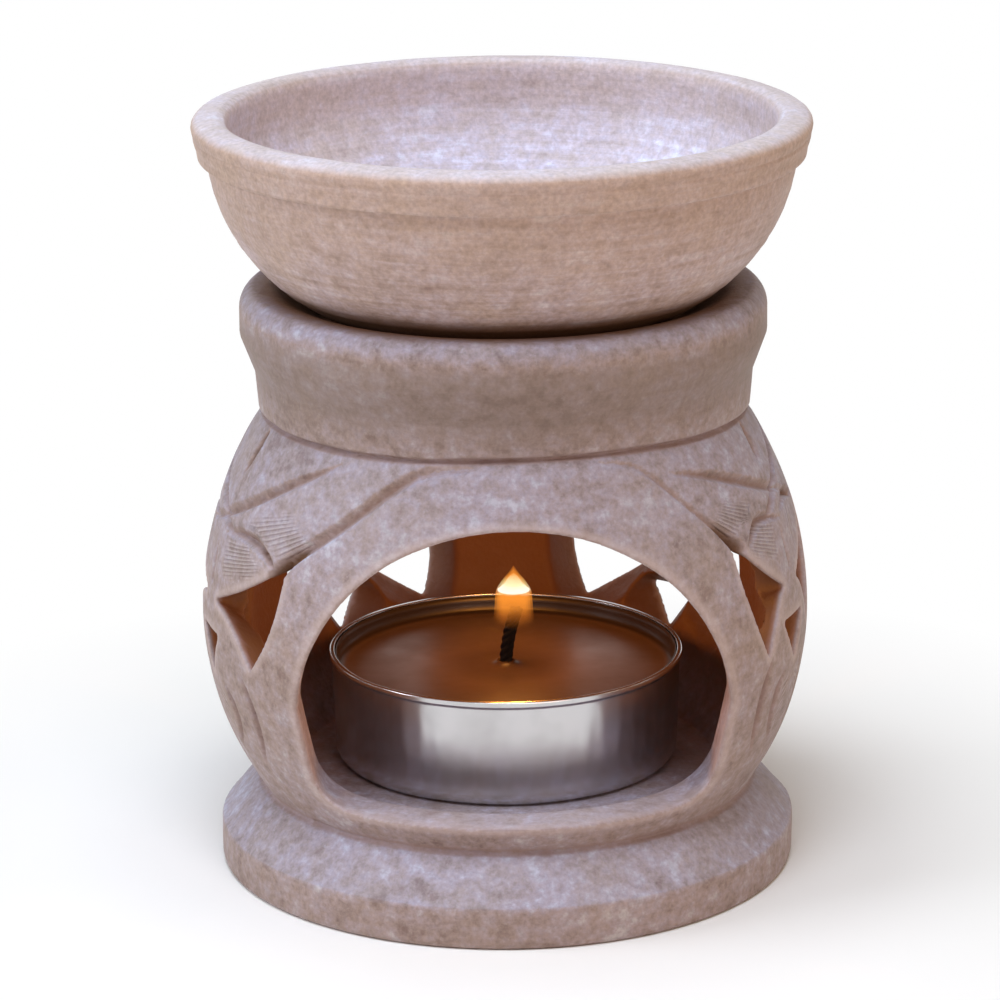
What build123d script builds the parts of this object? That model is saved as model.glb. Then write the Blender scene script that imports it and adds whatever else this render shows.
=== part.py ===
"""Essential oil burner of carved stone: a pierced stand, a loose bowl and a tealight."""
import os
from math import cos, degrees, hypot, radians, sin

from build123d import *

os.makedirs("parts", exist_ok=True)

# One overrun serves every cut
overrun = 5.0

# Tealight, the standard size that the burner is built around, in millimetres
cup_r = 19.0
cup_taper = 0.3
cup_h = 12.0
cup_wall = 0.3
cup_foot_round = 1.5
cup_bead = 0.25
candle_setback = 1.5
wax_below_rim = 2.1
wax_clearance = 0.1
sustainer_r = 5.5
sustainer_t = 0.3
sustainer_tube_wall = 0.75
sustainer_tube_h = 4.0
wick_r = 0.75
wick_clearance = 0.1
wick_free_h = 6.4
wick_lean = 1.2

# Base disc of the stand, standing on Z = 0
base_side_h = 4.05
base_crown_h = 5.2
base_crown_sag = 0.3
base_chamfer = 0.6
base_step = 4.55

# Barrel-shaped belly above the waist, with the candle chamber inside
floor_rise = 1.2
floor_clearance = 3.4
waist_wall = 3.1
belly_swell = 5.95
belly_h = 40.8
bulge_h = 18.6
belly_draw = 6.7
belly_wall = 4.35
ceiling_drop = 3.1
ceiling_rise = 2.0
ceiling_w = 6.0

# Collar that carries the bowl
undercut = 0.5
undercut_h = 0.9
band_overhang = 0.25
band_h = 4.7
band_flare = 0.3
flare_h = 4.1
collar_flare = 1.55
collar_side_h = 2.6
collar_round_h = 2.2
collar_round_w = 1.45

# Bowl for water and oil, with its seat sunk into the collar
seat_depth = 2.5
seat_clearance = 1.0
dish_clearance = 1.2
ledge_w = 3.2
bowl_foot_lip = 0.2
bowl_flare = 12.3
bowl_side_h = 15.9
bowl_side_sag = 2.86
bowl_wall = 2.1
bowl_floor_t = 7.3
hollow_round = 10.0
lip_proud = 0.05
lip_bulge = 0.65
lip_overhang = 1.05
lip_step_h = 1.15
lip_h = 4.0
lip_bulge_share = 0.45
lip_crown_in = 0.7
lip_inner_round = 1.7

# Arched doorway at the front, a little right of the middle
doorway_clearance = 3.1
arch_splay = 2.15
arch_corner_r = 4.5
arch_shift = 0.8
arch_cover = 5.3
sill_h = 2.1
spring_h = 11.4

# Pierced leaf panels: azimuth of the stem, window foot on the belly, window width
window_w = 10.0
window_h = 11.0
stem_gap = 2.6
low_hole_w = 5.2
low_hole_h = 4.0
low_hole_rise = 1.0
panel_azimuths = (-75, 70, 142, -142)
panel_foot_shares = (0.43, 0.475, 0.28, 0.28)
panel_width_shares = (1.3, 0.85, 1.0, 1.0)

# Window corners and the middles of its three curved edges, as shares of its width and height
stem_corner_shares = (0.0, 0.45)
top_edge_shares = (0.5, 0.69)
top_corner_shares = (1.0, 1.0)
side_edge_shares = ((0.93, 0.5), (0.66, 0.0), (0.35, 0.31))
back_edge_shares = ((1.06, 0.45), (0.88, -0.08), (0.36, 0.2))
panel_edge_shares = (side_edge_shares, side_edge_shares, back_edge_shares, back_edge_shares)

# Knife cuts beside a stem: start, middle and end, as shares across the panel and of the belly above or below
carve_depth = 0.8
upper_cut_shares = (
    ((-0.05, 0.15), (0.83, 0.51), (1.67, 0.93)),
    ((0.16, 0.11), (0.6, 0.21), (0.97, 0.03)),
    ((0.97, -0.06), (1.4, 0.5), (1.95, 0.97)),
)
upper_cut_widths = (1.5, 1.7, 1.5)
lower_cut_shares = (
    ((0.57, 0.09), (0.68, 0.37), (0.63, 0.66)),
    ((0.25, 0.2), (0.37, 0.4), (0.22, 0.65)),
)
lower_cut_widths = (1.3, 1.1)
bud_cut_shares = ((0.0, 0.62), (0.0, 0.8), (0.0, 0.98))
bud_cut_w = 1.8

# Radii that follow, from the tealight outwards
cup_foot_r = cup_r - cup_taper
floor_r = cup_foot_r + candle_setback + floor_clearance
waist_r = floor_r + waist_wall
base_r = waist_r + base_step
belly_r = waist_r + belly_swell
chamber_r = belly_r - belly_wall
belly_top_r = belly_r - belly_draw
band_r = belly_top_r + band_overhang
band_top_r = band_r + band_flare
collar_r = band_top_r + collar_flare
collar_crown_r = collar_r - collar_round_w
lip_r = belly_r + lip_proud
lip_foot_r = lip_r - lip_bulge
lip_crown_r = lip_foot_r - lip_crown_in
bowl_r = lip_foot_r - lip_overhang
bowl_inner_r = bowl_r - bowl_wall
bowl_foot_r = bowl_r - bowl_flare
hollow_floor_r = bowl_inner_r - hollow_round
ledge_r = bowl_foot_r + seat_clearance
throat_r = bowl_foot_r - ledge_w
chamber_top_r = throat_r + ceiling_w
arch_w = 2 * (cup_r + cup_bead + doorway_clearance)
arch_foot_w = arch_w - 2 * arch_splay

# Heights that follow, from the ground up
waist_z = base_side_h + base_crown_h
floor_z = waist_z + floor_rise
bulge_z = waist_z + bulge_h
belly_top_z = waist_z + belly_h
chamber_top_z = belly_top_z - ceiling_drop
flare_z = belly_top_z + band_h
collar_z = flare_z + flare_h
collar_edge_z = collar_z + collar_side_h
rim_z = collar_edge_z + collar_round_h
seat_z = rim_z - seat_depth
sill_z = floor_z + sill_h
spring_z = sill_z + spring_h
crown_h = belly_top_z - arch_cover - spring_z
bowl_foot_z = seat_z + bowl_foot_lip
bowl_side_z = seat_z + bowl_side_h
lip_foot_z = bowl_side_z + lip_step_h
bowl_top_z = lip_foot_z + lip_h
hollow_z = seat_z + bowl_floor_t
hollow_side_z = hollow_z + hollow_round
cup_floor_z = floor_z + cup_wall
cup_top_z = floor_z + cup_h
wax_z = cup_top_z - wax_below_rim

up = (0, 0, 1)
candle_axis = Axis((0, candle_setback, 0), up)
candle_plane = Plane.XZ.offset(-candle_setback)


def radial_plane(azimuth, height):
    """Plane through the axis that faces outwards at an azimuth, 0 at the doorway, with its Y up."""
    turn = radians(azimuth)
    return Plane(origin=(0, 0, height), x_dir=(cos(turn), sin(turn), 0), z_dir=(sin(turn), -cos(turn), 0))


def window_point(shares, width, side):
    """Point of a window's outline, measured from the middle of its foot, mirrored by side."""
    across, along = shares
    return (side * width * (across - 1 / 2), window_h * along)


# Knife cuts of every leaf panel: azimuth, side, the three points across and up, and the width
knife_cuts = []
for azimuth, foot_share, width_share in zip(panel_azimuths, panel_foot_shares, panel_width_shares):
    reach = stem_gap + window_w * width_share
    foot_z = waist_z + belly_h * foot_share
    top_z = foot_z + window_h
    rise = belly_top_z - top_z
    drop = foot_z - waist_z
    for side in (-1, 1):
        for shares, width in zip(upper_cut_shares, upper_cut_widths):
            points = [(reach * across, top_z + rise * along) for across, along in shares]
            knife_cuts.append((azimuth, side, points, width))
        for shares, width in zip(lower_cut_shares, lower_cut_widths):
            points = [(reach * across, foot_z - drop * along) for across, along in shares]
            knife_cuts.append((azimuth, side, points, width))
    points = [(reach * across, top_z + rise * along) for across, along in bud_cut_shares]
    knife_cuts.append((azimuth, 1, points, bud_cut_w))

# Carving: pointed prisms of the knife cuts, kept only outside the belly's uncut core
with BuildPart() as carving:
    for azimuth, side, (start, middle, end), width in knife_cuts:
        turn = degrees(middle[0] / belly_r)
        tip = (side * (start[0] - middle[0]), start[1])
        tail = (side * (end[0] - middle[0]), end[1])
        run = hypot(tail[0] - tip[0], tail[1] - tip[1])
        aside = (width / 2 * (tip[1] - tail[1]) / run, width / 2 * (tail[0] - tip[0]) / run)
        with BuildSketch(radial_plane(azimuth + side * turn, 0).offset(chamber_top_r)):
            with BuildLine():
                ThreePointArc(tip, (aside[0], middle[1] + aside[1]), tail)
                ThreePointArc(tail, (-aside[0], middle[1] - aside[1]), tip)
            make_face()
        extrude(amount=belly_r + overrun - chamber_top_r)
    with BuildSketch(Plane.XZ):
        core_r = belly_r - carve_depth
        core_foot_r = waist_r - carve_depth
        core_top_r = belly_top_r - carve_depth
        with BuildLine():
            Polyline((0, belly_top_z), (0, 0), (core_foot_r, 0), (core_foot_r, waist_z))
            TangentArc((core_r, bulge_z), (core_foot_r, waist_z), tangent=(0, -1))
            TangentArc((core_r, bulge_z), (core_top_r, belly_top_z), tangent=(0, 1))
            Line((core_top_r, belly_top_z), (0, belly_top_z))
        make_face()
    revolve(axis=Axis.Z, mode=Mode.SUBTRACT)

# Stand: base disc, belly and collar turned in one piece, then carved, hollowed, pierced and given a doorway
with BuildPart() as stand:
    with BuildSketch(Plane.XZ):
        with BuildLine():
            Polyline(
                (0, 0),
                (base_r - base_chamfer, 0),
                (base_r, base_chamfer),
                (base_r, base_side_h),
            )
            SagittaArc((base_r, base_side_h), (waist_r, waist_z), -base_crown_sag)
            TangentArc((belly_r, bulge_z), (waist_r, waist_z), tangent=(0, -1))
            TangentArc((belly_r, bulge_z), (belly_top_r, belly_top_z), tangent=(0, 1))
            Polyline(
                (belly_top_r, belly_top_z),
                (belly_top_r - undercut, belly_top_z + undercut_h / 2),
                (band_r, belly_top_z + undercut_h),
                (band_top_r, flare_z),
                (collar_r, collar_z),
                (collar_r, collar_edge_z),
            )
            TangentArc((collar_r, collar_edge_z), (collar_crown_r, rim_z), tangent=(0, 1))
            Polyline((collar_crown_r, rim_z), (0, rim_z), (0, 0))
        make_face()
    revolve(axis=Axis.Z)
    add(carving.part, mode=Mode.SUBTRACT)

    # Candle chamber and the throat up to the bowl
    with BuildSketch(Plane.XZ):
        with BuildLine():
            Polyline((0, seat_z), (0, floor_z), (floor_r, floor_z))
            TangentArc((chamber_r, bulge_z), (floor_r, floor_z), tangent=(0, -1))
            TangentArc((chamber_r, bulge_z), (chamber_top_r, chamber_top_z), tangent=(0, 1))
            Polyline(
                (chamber_top_r, chamber_top_z),
                (throat_r, chamber_top_z + ceiling_rise),
                (throat_r, seat_z),
                (0, seat_z),
            )
        make_face()
    revolve(axis=Axis.Z, mode=Mode.SUBTRACT)

    # Dished seat with a flat ledge
    bowl_drop = bowl_side_z - bowl_foot_z
    bowl_chord = hypot(bowl_flare, bowl_drop)
    bowl_round_r = (bowl_chord**2 / 4 + bowl_side_sag**2) / (2 * bowl_side_sag)
    bowl_hub = bowl_round_r - bowl_side_sag
    bowl_hub_r = (bowl_r + bowl_foot_r) / 2 - bowl_hub * bowl_drop / bowl_chord
    bowl_hub_z = (bowl_side_z + bowl_foot_z) / 2 + bowl_hub * bowl_flare / bowl_chord
    bowl_r_at_rim = bowl_hub_r + (bowl_round_r**2 - (bowl_hub_z - rim_z) ** 2) ** 0.5
    with BuildSketch(Plane.XZ):
        with BuildLine():
            Polyline(
                (0, seat_z),
                (ledge_r, seat_z),
                (bowl_r_at_rim + dish_clearance, rim_z),
                (0, rim_z),
                close=True,
            )
        make_face()
    revolve(axis=Axis.Z, mode=Mode.SUBTRACT)

    # Arched doorway, cut straight through the front wall
    with BuildSketch(Plane.XZ):
        with BuildLine():
            EllipticalCenterArc((arch_shift, spring_z), arch_w / 2, crown_h, arc_size=180)
            Polyline(
                (arch_shift - arch_w / 2, spring_z),
                (arch_shift - arch_foot_w / 2, sill_z),
                (arch_shift + arch_foot_w / 2, sill_z),
                (arch_shift + arch_w / 2, spring_z),
            )
        make_face()
        fillet(vertices().group_by(Axis.Y)[0], radius=arch_corner_r)
    extrude(amount=belly_r + overrun, mode=Mode.SUBTRACT)

    # Leaf panels: a window on each side of the stem and a small opening below its flower
    panels = zip(panel_azimuths, panel_foot_shares, panel_width_shares, panel_edge_shares)
    for azimuth, foot_share, width_share, edge_shares in panels:
        pier_edge_shares, foot_corner_shares, leaf_edge_shares = edge_shares
        foot_z = waist_z + belly_h * foot_share
        width = window_w * width_share
        turn = degrees((stem_gap + width / 2) / belly_r)
        for side in (-1, 1):
            stem_corner = window_point(stem_corner_shares, width, side)
            top_corner = window_point(top_corner_shares, width, side)
            foot_corner = window_point(foot_corner_shares, width, side)
            with BuildSketch(radial_plane(azimuth + side * turn, foot_z)):
                with BuildLine():
                    ThreePointArc(stem_corner, window_point(top_edge_shares, width, side), top_corner)
                    ThreePointArc(top_corner, window_point(pier_edge_shares, width, side), foot_corner)
                    ThreePointArc(foot_corner, window_point(leaf_edge_shares, width, side), stem_corner)
                make_face()
            extrude(amount=belly_r + overrun, mode=Mode.SUBTRACT)
        with BuildSketch(radial_plane(azimuth, foot_z + low_hole_rise)):
            with BuildLine():
                Polyline(
                    (-low_hole_w / 2, 0),
                    (0, -low_hole_h),
                    (low_hole_w / 2, 0),
                    close=True,
                )
            make_face()
        extrude(amount=belly_r + overrun, mode=Mode.SUBTRACT)
stand.part.label = "stand"
export_step(stand.part, "parts/stand.step")

# Bowl: round belly on a flat foot, with a rolled lip
with BuildPart() as oil_bowl:
    with BuildSketch(Plane.XZ):
        with BuildLine():
            Polyline((0, hollow_z), (0, seat_z), (bowl_foot_r, seat_z), (bowl_foot_r, bowl_foot_z))
            SagittaArc((bowl_foot_r, bowl_foot_z), (bowl_r, bowl_side_z), -bowl_side_sag)
            Line((bowl_r, bowl_side_z), (lip_foot_r, lip_foot_z))
            ThreePointArc(
                (lip_foot_r, lip_foot_z),
                (lip_r, lip_foot_z + lip_h * lip_bulge_share),
                (lip_crown_r, bowl_top_z),
            )
            Line((lip_crown_r, bowl_top_z), (bowl_inner_r + lip_inner_round, bowl_top_z))
            TangentArc(
                (bowl_inner_r + lip_inner_round, bowl_top_z),
                (bowl_inner_r, bowl_top_z - lip_inner_round),
                tangent=(-1, 0),
            )
            Line((bowl_inner_r, bowl_top_z - lip_inner_round), (bowl_inner_r, hollow_side_z))
            TangentArc((bowl_inner_r, hollow_side_z), (hollow_floor_r, hollow_z), tangent=(0, -1))
            Line((hollow_floor_r, hollow_z), (0, hollow_z))
        make_face()
    revolve(axis=Axis.Z)
oil_bowl.part.label = "oil_bowl"
export_step(oil_bowl.part, "parts/oil_bowl.step")

# Tealight cup: thin pressed metal with a rounded foot and a small bead at the rim
with BuildPart() as tealight_cup:
    with BuildSketch(candle_plane):
        with BuildLine():
            Polyline(
                (0, floor_z),
                (cup_foot_r - cup_foot_round, floor_z),
            )
            TangentArc(
                (cup_foot_r - cup_foot_round, floor_z),
                (cup_foot_r, floor_z + cup_foot_round),
                tangent=(1, 0),
            )
            Polyline(
                (cup_foot_r, floor_z + cup_foot_round),
                (cup_r, cup_top_z - cup_wall),
                (cup_r + cup_bead, cup_top_z - cup_wall),
                (cup_r + cup_bead, cup_top_z),
                (cup_r - cup_wall, cup_top_z),
                (cup_foot_r - cup_wall, floor_z + cup_foot_round),
            )
            TangentArc(
                (cup_foot_r - cup_wall, floor_z + cup_foot_round),
                (cup_foot_r - cup_foot_round, cup_floor_z),
                tangent=(0, -1),
            )
            Polyline((cup_foot_r - cup_foot_round, cup_floor_z), (0, cup_floor_z), (0, floor_z))
        make_face()
    revolve(axis=candle_axis)
tealight_cup.part.label = "tealight_cup"
export_step(tealight_cup.part, "parts/tealight_cup.step")

# Wick sustainer: a thin disc on the cup's floor with a short tube that holds the wick
wick_hole_r = wick_r + wick_clearance
sustainer_tube_r = wick_hole_r + sustainer_tube_wall
with BuildPart() as wick_sustainer:
    with BuildSketch(Plane.XY.offset(cup_floor_z)):
        with Locations((0, candle_setback)):
            Circle(sustainer_r)
            Circle(wick_hole_r, mode=Mode.SUBTRACT)
    extrude(amount=sustainer_t)
    with BuildSketch(Plane.XY.offset(cup_floor_z)):
        with Locations((0, candle_setback)):
            Circle(sustainer_tube_r)
            Circle(wick_hole_r, mode=Mode.SUBTRACT)
    extrude(amount=sustainer_tube_h)
wick_sustainer.part.label = "wick_sustainer"
export_step(wick_sustainer.part, "parts/wick_sustainer.step")

# Wax: fills the cup to below its rim, with room for the sustainer and the wick
wax_foot_r = cup_foot_r - cup_foot_round - wax_clearance
wax_side_z = floor_z + cup_foot_round
taper_share = (wax_z - wax_side_z) / (cup_top_z - wax_side_z)
wax_top_r = cup_foot_r - cup_wall - wax_clearance + (cup_r - cup_foot_r) * taper_share
with BuildPart() as tealight_wax:
    with BuildSketch(candle_plane):
        with BuildLine():
            Polyline(
                (wick_hole_r, wax_z),
                (wick_hole_r, cup_floor_z + sustainer_tube_h + wax_clearance),
                (sustainer_tube_r + wax_clearance, cup_floor_z + sustainer_tube_h + wax_clearance),
                (sustainer_tube_r + wax_clearance, cup_floor_z + sustainer_t + wax_clearance),
                (sustainer_r + wax_clearance, cup_floor_z + sustainer_t + wax_clearance),
                (sustainer_r + wax_clearance, cup_floor_z),
                (wax_foot_r, cup_floor_z),
                (cup_foot_r - cup_wall - wax_clearance, wax_side_z),
                (wax_top_r, wax_z),
                close=True,
            )
        make_face()
    revolve(axis=candle_axis)
tealight_wax.part.label = "tealight_wax"
export_step(tealight_wax.part, "parts/tealight_wax.step")

# Wick: stands on the cup's floor and bends over to one side above the wax
with BuildPart() as wick:
    with BuildLine():
        stem = Line((0, candle_setback, cup_floor_z), (0, candle_setback, wax_z))
        TangentArc(stem @ 1, (wick_lean, candle_setback, wax_z + wick_free_h), tangent=stem % 1)
    with BuildSketch(Plane.XY.offset(cup_floor_z)):
        with Locations((0, candle_setback)):
            Circle(wick_r)
    sweep()
wick.part.label = "wick"
export_step(wick.part, "parts/wick.step")
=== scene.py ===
"""Carved soapstone oil burner with a lit tealight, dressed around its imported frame."""

import logging
import math
from dataclasses import dataclass, field
from enum import Enum
from typing import Any, Sequence

import bmesh
import bpy
import numpy as np
from mathutils import Euler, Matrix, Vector


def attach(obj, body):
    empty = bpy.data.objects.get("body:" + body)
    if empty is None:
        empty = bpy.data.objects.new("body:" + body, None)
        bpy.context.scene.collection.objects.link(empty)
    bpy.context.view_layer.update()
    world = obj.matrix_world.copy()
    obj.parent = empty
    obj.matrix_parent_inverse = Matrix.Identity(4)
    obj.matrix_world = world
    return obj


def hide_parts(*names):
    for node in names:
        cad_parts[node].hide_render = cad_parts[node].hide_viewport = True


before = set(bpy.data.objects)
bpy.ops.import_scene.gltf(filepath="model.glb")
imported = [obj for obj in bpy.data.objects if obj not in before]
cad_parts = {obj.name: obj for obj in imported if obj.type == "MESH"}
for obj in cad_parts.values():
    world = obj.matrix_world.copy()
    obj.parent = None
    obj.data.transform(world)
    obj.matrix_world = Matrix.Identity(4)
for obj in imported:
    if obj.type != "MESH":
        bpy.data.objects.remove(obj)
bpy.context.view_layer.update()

LOG = logging.getLogger("oil_burner")
MM = 0.001

Point = tuple[float, float]
Colour = tuple[float, float, float]
Rows = tuple[tuple[float, float, float, float], ...]


class Body(Enum):
    """Moving bodies of the burner."""

    STAND = "stand"
    BOWL = "bowl"
    TEALIGHT = "tealight"


class Slot(Enum):
    """Material slots of the record."""

    STAND = "stand_stone"
    BOWL = "bowl_stone"
    CUP = "cup_metal"
    WAX = "wax"
    TIN = "tin"
    WICK = "wick_cotton"


class NodeSheet:
    """Adds nodes to a tree and joins them by their sockets."""

    def __init__(self, tree: bpy.types.NodeTree) -> None:
        """Starts on an empty copy of the tree."""
        self.tree = tree
        self.tree.nodes.clear()

    def add(self, kind: str, inputs: dict[Any, Any] | None = None, **settings: Any) -> bpy.types.Node:
        """Adds one node.

        Args:
            kind: type name of the node.
            inputs: socket names or numbers with a constant or an output socket.
            settings: properties of the node.

        Returns:
            The new node.
        """
        node = self.tree.nodes.new(kind)
        for name, value in settings.items():
            setattr(node, name, value)
        for key, value in (inputs or {}).items():
            if isinstance(value, bpy.types.NodeSocket):
                self.tree.links.new(value, node.inputs[key])
            else:
                node.inputs[key].default_value = value
        return node

    def math(self, operation: str, a: Any, b: Any = 0.0, clamp: bool = False) -> bpy.types.NodeSocket:
        """Joins two numbers with a math node and returns its output."""
        kind = "ShaderNodeMath"
        return self.add(kind, {0: a, 1: b}, operation=operation, use_clamp=clamp).outputs[0]

    def vector(self, operation: str, a: Any, b: Any = None, scale: Any = None) -> bpy.types.NodeSocket:
        """Joins two vectors, or scales one, and returns the output.

        Args:
            operation: the vector operation.
            a: first vector.
            b: second vector, where the operation has one.
            scale: factor for a scaling.

        Returns:
            The vector output, or the number output of a length.
        """
        inputs = {0: a}
        if b is not None:
            inputs[1] = b
        if scale is not None:
            inputs["Scale"] = scale
        node = self.add("ShaderNodeVectorMath", inputs, operation=operation)
        return node.outputs["Value" if operation == "LENGTH" else "Vector"]

    def noise(
        self, vector: Any, scale: float, detail: float = 3.0, rough: float = 0.55,
    ) -> bpy.types.NodeSocket:
        """Adds a noise texture on a vector and returns its factor."""
        inputs = {"Vector": vector, "Scale": scale, "Detail": detail, "Roughness": rough}
        return self.add("ShaderNodeTexNoise", inputs).outputs[0]

    def span(
        self, value: Any, low: float, high: float, out_low: float = 0.0, out_high: float = 1.0,
    ) -> bpy.types.NodeSocket:
        """Maps a number from one span to another, clamped, and returns it."""
        inputs = {"Value": value, "From Min": low, "From Max": high, "To Min": out_low, "To Max": out_high}
        return self.add("ShaderNodeMapRange", inputs, clamp=True).outputs[0]

    def mix(self, factor: Any, a: Any, b: Any, blend: str = "MIX") -> bpy.types.NodeSocket:
        """Mixes two colours and returns the result."""
        node = self.add("ShaderNodeMix", data_type="RGBA", blend_type=blend)
        for key, value in ((0, factor), (6, a), (7, b)):
            if isinstance(value, bpy.types.NodeSocket):
                self.tree.links.new(value, node.inputs[key])
            elif isinstance(value, tuple):
                node.inputs[key].default_value = (*value, 1.0)
            else:
                node.inputs[key].default_value = value
        return node.outputs[2]

    def ramp(self, factor: Any, stops: Sequence[tuple[float, Colour]]) -> bpy.types.NodeSocket:
        """Adds a colour ramp with the given stops and returns its colour."""
        node = self.add("ShaderNodeValToRGB", {"Fac": factor})
        elements = node.color_ramp.elements
        while len(elements) < len(stops):
            elements.new(0.5)
        for element, (position, colour) in zip(elements, stops):
            element.position = position
            element.color = (*colour, 1.0)
        return node.outputs["Color"]

    def attribute(self, name: str) -> bpy.types.NodeSocket:
        """Reads a number stored on the mesh points."""
        return self.add("ShaderNodeAttribute", attribute_name=name).outputs["Fac"]

    def millimetres(self) -> bpy.types.NodeSocket:
        """Gives the object coordinates in millimetres."""
        coordinates = self.add("ShaderNodeTexCoord").outputs["Object"]
        return self.vector("SCALE", coordinates, scale=1.0 / MM)

    def bump(self, height: Any, distance: float, strength: float = 1.0) -> bpy.types.NodeSocket:
        """Turns a height into a normal and returns it."""
        inputs = {"Height": height, "Distance": distance, "Strength": strength}
        return self.add("ShaderNodeBump", inputs).outputs["Normal"]

    def surface(self, shader: bpy.types.NodeSocket) -> None:
        """Joins a shader to the material's output."""
        self.add("ShaderNodeOutputMaterial", {"Surface": shader})

    def principled(self, inputs: dict[str, Any]) -> None:
        """Ends the material in a principled shader with these inputs."""
        self.surface(self.add("ShaderNodeBsdfPrincipled", inputs).outputs[0])


def new_material(name: str) -> tuple[bpy.types.Material, NodeSheet]:
    """Makes an empty node material and the sheet to fill it with."""
    material = bpy.data.materials.new(name)
    material.use_nodes = True
    return material, NodeSheet(material.node_tree)


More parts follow.
